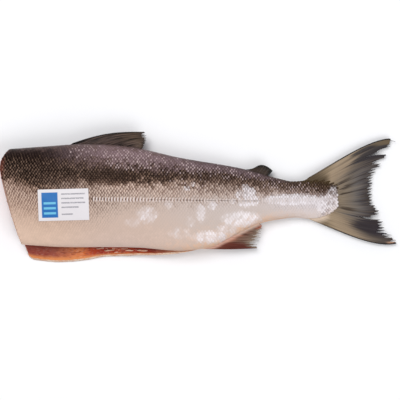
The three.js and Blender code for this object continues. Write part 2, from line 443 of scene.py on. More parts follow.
@dataclass(frozen=True)
class Patch:
    """An oval place on the flank, in fish millimetres."""

    x: float
    y: float
    half_length: float
    half_height: float
    strength: float

    def __call__(self, x: Array, y: Array) -> Array:
        """How strongly the patch shows at a place."""
        away = ((x - self.x) / self.half_length) ** 2 + ((y - self.y) / self.half_height) ** 2
        return self.strength * ease(1.15 - away, 0.0, 0.9)


@dataclass(frozen=True)
class FishForm:
    """Sizes of the body in millimetres: x from the head cut, y from the lateral line, z from the table."""

    back: Profile = Profile(
        ((0, 64), (40, 66.8), (100, 70), (162, 66.5), (224, 53), (299, 40), (349, 26.5), (367, 23.2),
         (394, 26), (412, 25), (421, 22))
    )
    belly: Profile = Profile(
        ((0, -55.5), (58, -58.4), (168, -59), (224, -62.8), (262, -58.4), (281, -49.4), (312, -33),
         (330, -26), (349, -22.5), (368, -20.3), (394, -22.5), (412, -16), (421, -9))
    )
    flank_top: Profile = Profile(
        ((0, 45), (60, 53), (120, 56), (190, 52), (250, 44), (300, 34.5), (345, 25), (367, 20.5),
         (394, 15.5), (421, 10.8))
    )
    median: Profile = Profile(((0, 23), (100, 27), (190, 25.5), (250, 22), (300, 18), (367, 12.5), (421, 9)))
    lateral: Profile = Profile(((0, 4), (112, 1.5), (200, 0.6), (330, -0.8), (421, 2)))
    pale_edge: Profile = Profile(((0, 23), (22, 15), (50, 6), (112, 1.5), (200, 0.6), (330, -0.8), (421, 2)))
    dark_band: Profile = Profile(((0, 48), (74, 35), (162, 30), (274, 31), (312, 25), (381, 17.5), (421, 12)))
    flap_drop: Profile = Profile(
        ((0, 16.6), (4, 18.8), (16, 19.7), (40, 20.2), (56, 19.4), (70, 18.6), (95, 16.3), (118, 13),
         (150, 11.5), (188, 8.6), (230, 2.6), (248, 0))
    )
    cavity_depth: Profile = Profile(((0, 60), (120, 57), (200, 40), (235, 15), (248, 0)))
    length: float = 421.0
    vent: float = 248.0
    slit_closing: float = 120.0
    tail_lift: float = 7.2
    tail_lift_from: float = 260.0
    fullness: float = 0.75
    cavity_fullness: float = 0.8
    flattening: float = 7.0
    flattening_fade: float = 2.6
    floor_ease: float = 4.0
    least_height: float = 1.0
    cut_lead: float = 40.0
    cut_round: float = 0.019
    cut_slant: float = 26.0
    cut_depth: float = 95.0
    cut_fade: float = 150.0
    lower_cut_back: float = 2.5
    keel: float = 5.0
    keel_round: float = 1.5
    lip_heights: Pair = (20.0, 1.0)
    lip_depths: Pair = (5.0, 4.0)
    lip_slope: float = 2.4
    lip_sharpness: float = 14.0

    def cut_back(self, y: Any) -> Any:
        """How far the head cut lies behind its foremost point."""
        above = self.cut_round * np.maximum(y - self.cut_lead, 0.0) ** 2
        return above + self.cut_slant * (np.maximum(self.cut_lead - y, 0.0) / self.cut_depth) ** 1.2

    def lean(self, station: Any) -> Any:
        """How much of the head cut's slant a station keeps."""
        return np.maximum(0.0, 1 - station / self.cut_fade)

    def floor(self, station: Any) -> Any:
        """How far the underside stands off the table."""
        share = np.maximum(0.0, (station - self.tail_lift_from) / (self.length - self.tail_lift_from))
        return self.tail_lift * share**1.6

    def lips(self, station: Any) -> tuple[Any, Any, Any, Any]:
        """Heights of the flaps' lips.

        Args:
            station: Places along the fish.

        Returns:
            The upper outer, lower outer, upper inner and lower inner heights.
        """
        open_share, middle = 1 - ease(station, self.slit_closing, self.vent), self.median(station)
        upper = between(middle + self.keel / 2, self.lip_heights[0], open_share)
        lower = between(middle - self.keel / 2, self.lip_heights[1], open_share)
        depths = [between(self.keel / 3, depth, open_share) for depth in self.lip_depths]
        return upper, lower, upper - depths[0], lower + depths[1]

    def low_belly(self, station: Any) -> Any:
        """The y of the lower flap's edge."""
        return self.belly(station) - self.flap_drop(station)

    def slanted(self, station: Any, y: Any, z: Any, behind: Any) -> Array:
        """Points that follow the slant of the head cut, set back by a distance."""
        x = station + (self.cut_back(y) + behind) * self.lean(station)
        return np.stack(np.broadcast_arrays(x, y, z), axis=-1)

    def flank(self, side: Side, station: Any, girth: Any) -> Array:
        """Points of a flank.

        Args:
            side: The flank.
            station: Places along the fish.
            girth: From 0 at the belly to 1 at the ridge of the back.

        Returns:
            Points in fish millimetres.
        """
        share = (1 - np.cos(np.pi * girth)) / 2
        swell = np.abs(np.sin(np.pi * girth)) ** self.fullness
        middle = self.median(station)
        upper, lower, _, _ = self.lips(station)
        if side is Side.UPPER:
            y = between(self.belly(station), self.back(station), share)
            bulge = self.flank_top(station) - (upper + middle) / 2
            return self.slanted(station, y, between(upper, middle, share) + bulge * swell, 0.0 * share)
        y = between(self.low_belly(station), self.back(station), share)
        floor = self.floor(station)
        bulge = (middle + lower) / 2 - floor + self.flattening * self.lean(station / self.flattening_fade)
        rise = between(lower, middle, share) - bulge * swell - floor
        soft = np.maximum(0.0, rise + self.floor_ease) ** 2 / (4 * self.floor_ease)
        z = floor + np.maximum(self.least_height, np.where(rise > self.floor_ease, rise, soft))
        return self.slanted(station, y, z, self.lower_cut_back * (1 - girth) ** 2)

    def cavity(self, station: Any, round_share: Any) -> Array:
        """Points of the wall of the gut cavity, which behind the vent rounds off the keel.

        Args:
            station: Places along the fish.
            round_share: From 0 at the lower lip to 1 at the upper lip.

        Returns:
            Points in fish millimetres.
        """
        share = (1 - np.cos(np.pi * round_share)) / 2
        _, _, upper_in, lower_in = self.lips(station)
        keel = -self.keel_round * ease(station, self.vent, self.vent + 12)
        depth = np.where(station < self.vent, self.cavity_depth(station), keel)
        y = between(self.low_belly(station), self.belly(station), share)
        bulge = np.maximum(np.sin(np.pi * round_share), 0.0) ** self.cavity_fullness
        slope = self.lip_slope * ease(self.vent - station, 0.0, 40.0)
        near_lower = np.exp(-self.lip_sharpness * round_share)
        near_upper = np.exp(-self.lip_sharpness * (1 - round_share))
        y = y + depth * bulge + slope * (near_lower + 0.4 * near_upper)
        behind = self.lower_cut_back * (1 - ease(round_share, 0.0, 1.0))
        return self.slanted(station, y, between(lower_in, upper_in, share), behind)

    def facing(self, side: Side, station: Array, girth: Array) -> tuple[Array, Array]:
        """Directions on a flank.

        Args:
            side: The flank.
            station: Places along the fish.
            girth: From 0 at the belly to 1 at the ridge.

        Returns:
            Unit vectors out of the skin and towards the tail.
        """
        along = self.flank(side, station + 0.6, girth) - self.flank(side, station - 0.6, girth)
        high, low = np.minimum(girth + 0.006, 1.0), np.maximum(girth - 0.006, 0.0)
        around = self.flank(side, station, high) - self.flank(side, station, low)
        out = np.cross(along, around) * (1.0 if side is Side.UPPER else -1.0)
        tailward = along / np.linalg.norm(along, axis=-1, keepdims=True)
        return out / np.linalg.norm(out, axis=-1, keepdims=True), tailward

    def tone(self, side: Side, x: Array, y: Array) -> Array:
        """The place in the run of skin tones.

        Args:
            side: The flank.
            x: Places along the fish.
            y: Places across it.

        Returns:
            0 at the belly, 0.5 at the lateral line, 0.72 in the dark band and 1 on the back.
        """
        foot = self.belly(x) if side is Side.UPPER else self.low_belly(x)
        line, band, ridge = self.pale_edge(x), self.dark_band(x), self.back(x)
        low = 0.5 * (y - foot) / (line - foot)
        middle = 0.5 + 0.22 * (y - line) / (band - line)
        high = 0.72 + 0.28 * (y - band) / np.maximum(ridge - band, 1.0)
        return np.clip(np.where(y < line, low, np.where(y < band, middle, high)), 0.0, 1.0)

    def girth_at(self, station: Any, y: Any) -> Any:
        """The girth at which the upper flank reaches a y."""
        share = np.clip((y - self.belly(station)) / (self.back(station) - self.belly(station)), 0.0, 1.0)
        return np.arccos(1 - 2 * share) / np.pi

    def top_height(self, x: Array, y: Array) -> Array:
        """Height of the upper flank over places in the plan view.

        Args:
            x: Places along the fish.
            y: Places across it.

        Returns:
            The height at each place.
        """
        shift = self.cut_back(y)
        station = np.where(x < self.cut_fade, (x - shift) / (1 - shift / self.cut_fade), x)
        return self.flank(Side.UPPER, station, self.girth_at(station, y))[..., 2]


@dataclass(frozen=True)
class Placing:
    """Where the fish lies in the frame."""

    shift_x: float
    shift_y: float

    @classmethod
    def from_frame(cls, form: FishForm) -> Placing:
        """Find the place from the box of the frame's node.

        Args:
            form: The shape of the fish.

        Returns:
            The place.
        """
        low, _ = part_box("salmon")
        lowest = float(np.min(form.low_belly(np.linspace(0, form.vent, 800))))
        return cls(low[0] / MM, low[1] / MM - lowest)

    def metres(self, points: Array) -> Array:
        """Turn fish millimetres into the frame's metres."""
        return (np.asarray(points, dtype=float) + np.array([self.shift_x, self.shift_y, 0.0])) * MM


# Shared effects and finishes


class Zone(Enum):
    """Parts of the fish with their own run of skin tones, and where along the fish each one rules."""

    SHOULDER = 0.1
    MIDDLE = 0.36
    TAIL = 0.72
    END = 0.93


# Runs of skin tone from belly to back; the lighter purple-grey near the top of the back is painted sheen.
SKIN_TONES: dict[Zone, Stops] = {
    Zone.SHOULDER: tones(
        (0.0, 232, 201, 180), (0.15, 217, 188, 168), (0.36, 196, 167, 150), (0.46, 196, 168, 153),
        (0.525, 168, 140, 126), (0.565, 92, 71, 60), (0.61, 44, 32, 26), (0.69, 22, 15, 12),
        (0.8, 16, 11, 10), (0.93, 38, 28, 28), (1.0, 94, 75, 72),
    ),
    Zone.MIDDLE: tones(
        (0.0, 219, 194, 181), (0.2, 206, 182, 168), (0.42, 198, 177, 165), (0.52, 191, 170, 158),
        (0.6, 214, 189, 176), (0.64, 184, 158, 144), (0.67, 118, 95, 83), (0.7, 52, 39, 32),
        (0.75, 20, 14, 10), (0.82, 104, 85, 84), (0.92, 148, 125, 130), (1.0, 122, 100, 99),
    ),
    Zone.TAIL: tones(
        (0.0, 228, 186, 152), (0.07, 214, 189, 173), (0.25, 198, 185, 178), (0.45, 205, 192, 187),
        (0.56, 200, 180, 170), (0.65, 124, 103, 93), (0.73, 66, 53, 47), (0.87, 124, 106, 111),
        (1.0, 92, 75, 77),
    ),
    Zone.END: tones(
        (0.0, 210, 195, 188), (0.3, 212, 203, 204), (0.5, 204, 193, 194), (0.6, 146, 128, 122),
        (0.7, 54, 42, 35), (0.85, 54, 42, 30), (1.0, 80, 66, 44),
    ),
}
# The silvery white of the glints: silvery skin with painted reflection.
SILVER_GLINT = srgb(238, 232, 236)
WARM_GLOSS = srgb(255, 200, 176)


class Effects:
    """The node groups that several finishes share and find by name."""

    def build(self) -> None:
        """Build each group once."""
        self._skin_tone()
        self._wet_film()
        self._ray_streaks()

    @staticmethod
    def _skin_tone() -> None:
        """The colour of the skin from belly to back, different at shoulder, middle and tail, with the silvery
        white of the glints, a painted reflection on silvery skin, laid over it.
        """
        inputs = [(name, "Float") for name in ("Tone", "Along", "Silver")]
        net = Wiring.group("skin_tone", "ShaderNodeTree", inputs, {"Colour": "Color"})
        tone, along, silver, _ = net.node("NodeGroupInput").outputs
        zones = list(Zone)
        colour = net.ramp(tone, SKIN_TONES[zones[0]])
        for before, zone in zip(zones, zones[1:]):
            share = net.mask(along, before.value, zone.value)
            colour = net.mix(share, colour, net.ramp(tone, SKIN_TONES[zone]))
        # The glint share lays silvery white over the tone: silvery skin with painted reflection.
        net.node("NodeGroupOutput", {"Colour": net.mix(silver, colour, SILVER_GLINT)})

    @staticmethod
    def _wet_film() -> None:
        """Uneven gloss and fine relief of a moist surface."""
        inputs = [("Place", "Vector"), ("Fineness", "Float", 400.0), ("Smooth", "Float", 0.25),
                  ("Dull", "Float", 0.5)]
        outputs = {"Roughness": "Float", "Height": "Float"}
        net = Wiring.group("wet_film", "ShaderNodeTree", inputs, outputs)
        place, fineness, smooth, dull, _ = net.node("NodeGroupInput").outputs
        cloud = net.mask(net.noise(place, 45.0, 4.0), 0.32, 0.68)
        grain = net.noise(place, fineness, 5.0)
        share = net.plus(net.times(cloud, 0.6), net.times(grain, 0.4))
        rough = net.plus(smooth, net.times(net.minus(dull, smooth), share))
        height = net.plus(grain, net.times(cloud, 0.5))
        net.node("NodeGroupOutput", {"Roughness": rough, "Height": height})

    @staticmethod
    def _ray_streaks() -> None:
        """Lines that run with the rays of a fin, from root to tip."""
        inputs = [("Ray", "Float"), ("Reach", "Float"), ("Fineness", "Float", 5.0)]
        outputs = {name: "Float" for name in ("Line", "Streak", "Band")}
        net = Wiring.group("ray_streaks", "ShaderNodeTree", inputs, outputs)
        ray, reach, fineness, _ = net.node("NodeGroupInput").outputs

        def cloud(across: Any, along: float, detail: float) -> Socket:
            """Noise that is drawn out along the rays."""
            return net.noise(net.vector(net.times(ray, across), net.times(reach, along)), 1.0, detail)

        wander = net.times(net.minus(cloud(0.6, 0.8, 2.0), 0.5), 1.6)
        wave = net.sum("COSINE", net.times(net.plus(ray, wander), 2 * math.pi))
        band = net.mask(cloud(0.95, 1.3, 2.0), 0.35, 0.65)
        line = net.times(net.mask(wave, 0.2, 0.98), band)
        streak = net.mask(cloud(fineness, 2.2, 3.0), 0.3, 0.7)
        net.node("NodeGroupOutput", {"Line": line, "Streak": streak, "Band": band})


@dataclass(frozen=True)
class WetFinish:
    """A moist surface: a colour of its own under the shared wet film."""

    name: str
    fineness: float = 420.0
    smooth: float = 0.26
    dull: float = 0.52
    bump: float = 0.25
    bump_depth: float = 0.25
    coat: float = 0.05
    coat_roughness: float = 0.12
    specular: float = 0.16
    gloss: Colour = (1.0, 1.0, 1.0, 1.0)
    shine: float = 0.0

    def colour(self, net: Wiring) -> Socket:
        """The surface's own colour, which every finish gives in its own way."""
        raise NotImplementedError

    def make(self) -> Material:
        """Build the material.

        Returns:
            The finished material.
        """
        material, net, shader = new_material(self.name)
        inputs = {"Place": net.place(), "Fineness": self.fineness, "Smooth": self.smooth, "Dull": self.dull}
        film = net.shared("wet_film", inputs)
        inputs = {"Strength": self.bump, "Distance": self.bump_depth * MM, "Height": film["Height"]}
        net.join(shader, {
            "Normal": net.out("ShaderNodeBump", inputs),
            "Roughness": film["Roughness"],
            "Base Color": self.colour(net),
            "Coat Weight": self.coat,
            "Coat Roughness": self.coat_roughness,
            "Specular IOR Level": self.specular,
            "Specular Tint": self.gloss,
        })
        if self.shine:
            net.join(shader, {"Metallic": net.times(*net.read("silver"), self.shine)})
        return material


@dataclass(frozen=True)
class SkinFinish(WetFinish):
    """The dark skin that shows between the scales."""

    shade: float = 0.42
    dark: Colour = srgb(70, 55, 48)
    bared: Colour = srgb(140, 82, 66)

    def colour(self, net: Wiring) -> Socket:
        """The skin tone, darkened, with cloudy pigment and a bared rim at the head cut.

        Args:
            net: The material's wiring.

        Returns:
            The colour.
        """
        silver, along, tone = net.read("silver", "along", "tone")
        base = net.shared("skin_tone", {"Tone": tone, "Along": along, "Silver": silver})[0]
        cloud = net.noise(net.place(), 130.0, 4.0)
        faded = net.minus(tone, net.times(net.mask(along, 0.2, 0.48), 0.15))
        deep = net.mix(net.times(net.mask(faded, 0.12, 0.5), self.shade), base, self.dark, "MULTIPLY")
        cut = net.times(net.mask(along, 0.008, 0.001), 0.5)
        return net.mix(cut, net.mix(cloud, deep, base), self.bared)


@dataclass(frozen=True)
class ScaleFinish(WetFinish):
    """A scale: skin tone, a light upright stroke that is a painted highlight, a dark rim with painted shade
    on the side away from the light, and now and then a painted sparkle or a silvery glint of painted
    reflection.
    """

    dark: float = 0.85
    # Painted highlight colour, screened over the stroke or dot at each scale's centre.
    centre_highlight: Colour = srgb(124, 101, 86)
    speck: Colour = srgb(204, 182, 183)
    # Painted sparkle colour, laid on the highlight of scales that catch the light.
    ring: Colour = srgb(90, 75, 68)
    gap: Colour = srgb(120, 98, 88)
    bared: Colour = srgb(134, 74, 62)
    # Painted shade colour for each scale's rim, darkest on the side away from the light.
    outline: Colour = srgb(96, 80, 72)

    def colour(self, net: Wiring) -> Socket:
        """The skin tone with a painted highlight as stroke or dot, rings, dark gaps, painted shade on the rim
        away from the light, and a tint that differs from scale to scale.

        Args:
            net: The material's wiring.

        Returns:
            The colour.
        """
        names = ("chance", "rim", "hind", "tone", "speck", "silver", "along", "relief")
        chance, rim, hind, tone, speck, silver, along, relief = net.read(*names)
        times, less, mask = net.times, net.less, net.mask
        faded = net.minus(tone, times(mask(along, 0.2, 0.48), 0.17))
        contrast = times(net.plus(0.03, times(mask(faded, 0.2, 0.5), 0.97)), less(times(silver, 0.45)))
        contrast = net.sum("MAXIMUM", contrast, times(mask(along, 0.945, 0.972), chance))
        stroke = times(mask(hind, -0.05, 0.4), mask(hind, 0.97, 0.6))
        aside = net.sum("SQRT", net.minus(times(rim, rim), times(hind, hind)))
        dot = times(stroke, less(times(mask(tone, 0.5, 0.66), mask(aside, 0.4, 0.8))))
        # Glint share: silvery skin with painted reflection, strongest on the highlight stroke.
        shine = times(silver, net.plus(0.66, times(stroke, 0.34)))
        skin = net.shared("skin_tone", {"Tone": tone, "Along": along, "Silver": shine})[0]
        # Painted sparkle on the highlight of some scales.
        base = net.mix(times(speck, dot), skin, self.speck)
        high = mask(tone, 0.76, 0.92)
        band = times(mask(tone, 0.58, 0.68), less(high))
        calm = less(net.plus(times(high, 0.88), times(band, 0.26)))
        # Painted highlight: the stroke or dot lightens each scale.
        light = net.mix(times(dot, contrast, calm, net.plus(0.2, chance)), base, self.centre_highlight, "SCREEN")
        ring = mask(net.sum("SINE", times(rim, 34.0)), 0.2, 1.0)
        ringed = net.mix(times(ring, 0.05), light, self.ring, "MULTIPLY")
        plain = less(net.sum("MAXIMUM", times(high, 0.6), times(mask(along, 0.66, 0.84), 0.3)))
        gap = times(less(dot), contrast, plain, net.minus(self.dark, times(chance, 0.3)))
        gapped = net.mix(gap, ringed, self.gap, "MULTIPLY")
        cut = times(mask(along, 0.017, 0.003), mask(tone, 0.56, 0.66), 0.5)
        bared = net.mix(cut, gapped, self.bared)
        # Painted shade: the rim darkens, most on the rear side away from the light, in place of shaded scale
        # edges.
        shaded_rear = net.plus(0.3, times(mask(hind, -0.2, 0.75), 0.7))
        outline = times(mask(rim, 0.55, 0.95), shaded_rear, relief, less(times(silver, 0.5)), 0.62)
        return net.mix(outline, bared, self.outline, "MULTIPLY")


@dataclass(frozen=True)
class TintedFinish(WetFinish):
    """Two colours that cloud into each other, with darker stains."""

    first: Colour = srgb(200, 190, 180)
    second: Colour = srgb(160, 150, 140)
    stain: Colour = srgb(120, 100, 90)
    cloud_scale: float = 160.0

    def colour(self, net: Wiring) -> Socket:
        """Clouds of both colours under scattered stains.

        Args:
            net: The material's wiring.

        Returns:
            The colour.
        """
        place = net.place()
        cloud = net.mask(net.noise(place, self.cloud_scale, 4.0), 0.35, 0.65)
        blot = net.mask(net.noise(place, self.cloud_scale * 2.7, 3.0), 0.56, 0.7)
        return net.mix(blot, net.mix(cloud, self.first, self.second), self.stain)


@dataclass(frozen=True)
class FleshFinish(WetFinish):
    """Cut muscle: orange-red flakes with pale seams round the backbone."""

    seam_gap: float = 2.5
    muscle: tuple[Colour, Colour] = (srgb(178, 52, 26), srgb(214, 88, 48))
    seam: Colour = srgb(236, 176, 140)
    fat: Colour = srgb(214, 186, 164)

    def colour(self, net: Wiring) -> Socket:
        """Red muscle, pale seams that follow the distance from the backbone, and fat under the skin.

        Args:
            net: The material's wiring.

        Returns:
            The colour.
        """
        place = net.place()
        spine_gap, skin_gap = net.read("spine_gap", "skin_gap")
        wander = net.times(net.noise(place, 60.0, 1.0), 7.0)
        run = net.plus(net.sum("DIVIDE", spine_gap, self.seam_gap), wander)
        seam = net.mask(net.sum("SINE", net.times(run, 2.0)), 0.78, 1.0)
        muscle = net.mix(net.noise(place, 700.0, 3.0), *self.muscle)
        seamed = net.mix(net.times(seam, 0.6), muscle, self.seam)
        return net.mix(net.mask(skin_gap, 3.2, 0.6), seamed, self.fat)


@dataclass(frozen=True)
class LiningFinish(WetFinish):
    """The inner side of the belly flaps, redder towards the middle and pale along the edge."""

    run: Stops = tones(
        (0.0, 142, 56, 40), (0.1, 150, 72, 55), (0.16, 198, 112, 70), (0.205, 220, 126, 72),
        (0.24, 190, 70, 24), (0.28, 164, 40, 14), (0.32, 180, 66, 34), (0.36, 190, 86, 54),
        (0.4, 158, 50, 24), (0.45, 132, 38, 16), (0.5, 172, 104, 74), (0.55, 208, 160, 130),
        (0.58, 78, 30, 24),
    )
    blood: Colour = srgb(112, 22, 12)
    fat: Colour = srgb(236, 196, 172)
    tan: Colour = srgb(216, 134, 76)
    margin: Colour = srgb(240, 224, 206)
    depth: Colour = srgb(96, 24, 16)

    def colour(self, net: Wiring) -> Socket:
        """Red and pink by place along the flap, with fatty lumps, blood and a pale margin.

        Args:
            net: The material's wiring.

        Returns:
            The colour.
        """
        place = net.place()
        along, inset, lumps = net.read("along", "inset", "lumps")
        drift = net.times(net.minus(net.noise(place, 90.0, 3.0), 0.5), 0.05)
        base = net.ramp(net.plus(along, drift), self.run)
        streak = net.out("ShaderNodeMapping", {"Vector": place, "Scale": (1.0, 3.4, 1.0)})
        blood = net.mask(net.noise(streak, 150.0, 5.0), 0.5, 0.64)
        bloody = net.mix(net.times(blood, 0.5), base, self.blood)
        fat = net.mask(net.noise(streak, 230.0, 4.0), 0.54, 0.68)
        fatty = net.mix(net.times(fat, net.plus(0.13, lumps)), bloody, self.fat)
        wander = net.times(net.minus(net.noise(place, 140.0, 3.0), 0.5), 5.0)
        tan = net.mix(net.mask(net.plus(inset, wander), 10.0, 2.6), fatty, self.tan)
        rim = net.plus(inset, net.times(wander, 0.3))
        margin = net.mix(net.mask(rim, 2.8, 1.5), tan, self.margin)
        return net.mix(net.times(net.mask(inset, 17.0, 30.0), 0.75), margin, self.depth)


@dataclass(frozen=True)
class Stain:
    """A tinted oval on a fin, by its place across the rays and along them."""

    colour: Colour
    spread: float
    half_spread: float
    reach: float
    half_reach: float
    share: float = 0.9

    def over(self, net: Wiring, below: Socket, spread: Socket, reach: Socket, drift: Socket) -> Socket:
        """Lay the stain over a colour.

        Args:
            net: The material's wiring.
            below: The colour below.
            spread: The share across the rays.
            reach: The share along the rays.
            drift: How far the stain's edge drifts with the streaks.

        Returns:
            The stained colour.
        """
        across = net.sum("DIVIDE", net.minus(spread, self.spread), self.half_spread)
        along = net.sum("DIVIDE", net.minus(reach, self.reach), self.half_reach)
        away = net.plus(net.times(across, across), net.times(along, along))
        mask = net.mask(net.plus(away, net.times(drift, 5.0)), 1.2, 0.35)
        return net.mix(net.times(mask, self.share), below, self.colour)


@dataclass(frozen=True)
class FinFinish(WetFinish):
    """The thin skin of a fin: a run of colours from root to tip, lined by its rays."""

    run: Stops = ()
    line: Colour = srgb(60, 50, 45)
    line_share: float = 0.5
    pale: Colour = srgb(150, 130, 105)
    pale_share: float = 0.35
    edge: Colour = srgb(28, 25, 27)
    edge_width: float = 0.02
    fineness_across: float = 5.0
    inner_run: Stops = ()
    stroke_share: float = 0.0
    dark_share: float = 0.0
    root_tints: tuple[Colour, ...] = ()
    root_width: float = 6.0
    lobe_shift: float = 0.0
    stains: tuple[Stain, ...] = ()
    shade: float = 0.0
    shade_tint: Colour = srgb(150, 140, 135)

    def colour(self, net: Wiring) -> Socket:
        """The run of colours with streaks, ray lines, stains, dark edges and, where given, tinted roots.

        Args:
            net: The material's wiring.

        Returns:
            The colour.
        """
        ray, reach, spread, off = net.read("ray", "reach", "spread", "off")
        inputs = {"Ray": ray, "Reach": reach, "Fineness": self.fineness_across}
        line, streak, band = net.shared("ray_streaks", inputs)
        times, mask = net.times, net.mask
        out = net.sum("ABSOLUTE", net.minus(spread, 0.5))
        drift = times(net.minus(net.plus(streak, band), 1.0), 0.09)
        lobe = times(net.minus(out, 0.38), self.lobe_shift)
        inner = net.plus(reach, drift)
        base = net.ramp(net.minus(inner, lobe), self.run)
        if self.inner_run:
            base = net.mix(mask(out, 0.34, 0.22), base, net.ramp(inner, self.inner_run))
        if self.stroke_share:
            near = times(mask(reach, 0.3, 0.4), mask(reach, 0.74, 0.5))
            bold = times(mask(band, 0.6, 0.9), mask(out, 0.3, 0.2), near, self.stroke_share)
            base = net.mix(bold, base, self.line)
        light = net.mix(times(streak, self.pale_share), base, self.pale)
        if self.dark_share:
            deep = mask(net.plus(streak, times(band, 0.5)), 0.75, 0.3)
            light = net.mix(times(deep, self.dark_share), light, self.line)
        for stain in self.stains:
            light = stain.over(net, light, spread, reach, drift)
        lined = net.mix(times(line, self.line_share), light, self.line)
        if self.root_tints:
            tint = net.mix(mask(spread, 0.4, 0.6), self.root_tints[0], self.root_tints[-1])
            lined = net.mix(mask(off, self.root_width, 0.0), lined, tint)
        rim = mask(out, 0.5 - self.edge_width, 0.5 - 0.3 * self.edge_width)
        rimmed = net.mix(times(rim, mask(reach, 0.15, 0.5)), lined, self.edge)
        return net.mix(self.shade, rimmed, self.shade_tint, "MULTIPLY") if self.shade else rimmed


@dataclass(frozen=True)
class PaperFinish:
    """White label paper with a generic print: a blue panel of plain bars and grey rules."""

    name: str = "label_paper"
    paper: Colour = srgb(224, 219, 222)
    fibre: Colour = srgb(214, 208, 210)
    ink: Colour = srgb(18, 104, 176)
    pale_ink: Colour = srgb(110, 190, 222)
    grey: Colour = srgb(120, 118, 128)
    panel: tuple[float, ...] = (0.07, 0.39, 0.1, 0.9)
    bars: tuple[float, ...] = (0.24, 0.4, 0.56)
    rules: Knots = ((0.93, 0.84), (0.9, 0.7), (0.93, 0.56), (0.8, 0.42), (0.68, 0.2))

    def make(self) -> Material:
        """Build the paper with its print, fibres and a slightly satin face.

        Returns:
            The finished material.
        """
        material, net, shader = new_material(self.name)
        fibre = net.noise(net.place(), 900.0, 5.0)
        colour = net.mix(net.times(fibre, 0.12), self.paper, self.fibre)
        colour = net.mix(self._inside(net, self.panel, 0.01), colour, self.ink)
        for place in self.bars:
            bar = self._inside(net, (0.11, 0.35, place - 0.035, place + 0.035), 0.01)
            colour = net.mix(bar, colour, self.pale_ink)
        for right, height in self.rules:
            rule = self._inside(net, (0.46, right, height - 0.022, height + 0.022), 0.008)
            colour = net.mix(net.times(rule, net.mask(fibre, 0.3, 0.5), 0.75), colour, self.grey)
        inputs = {"Strength": 0.15, "Distance": 0.05 * MM, "Height": fibre}
        net.join(shader, {
            "Base Color": colour,
            "Roughness": net.plus(0.36, net.times(fibre, 0.2)),
            "Normal": net.out("ShaderNodeBump", inputs),
        })
        return material

    @staticmethod
    def _inside(net: Wiring, box: tuple[float, ...], soft: float) -> Socket:
        """A mask that is 1 inside a box of left, right, low and high shares of the label, with a soft rim."""
        edges = zip(net.read("across", "across", "up", "up"), box, (soft, -soft, soft, -soft))
        return net.times(*[net.mask(at, edge - rim, edge + rim) for at, edge, rim in edges])


# Trees that grow what repeats


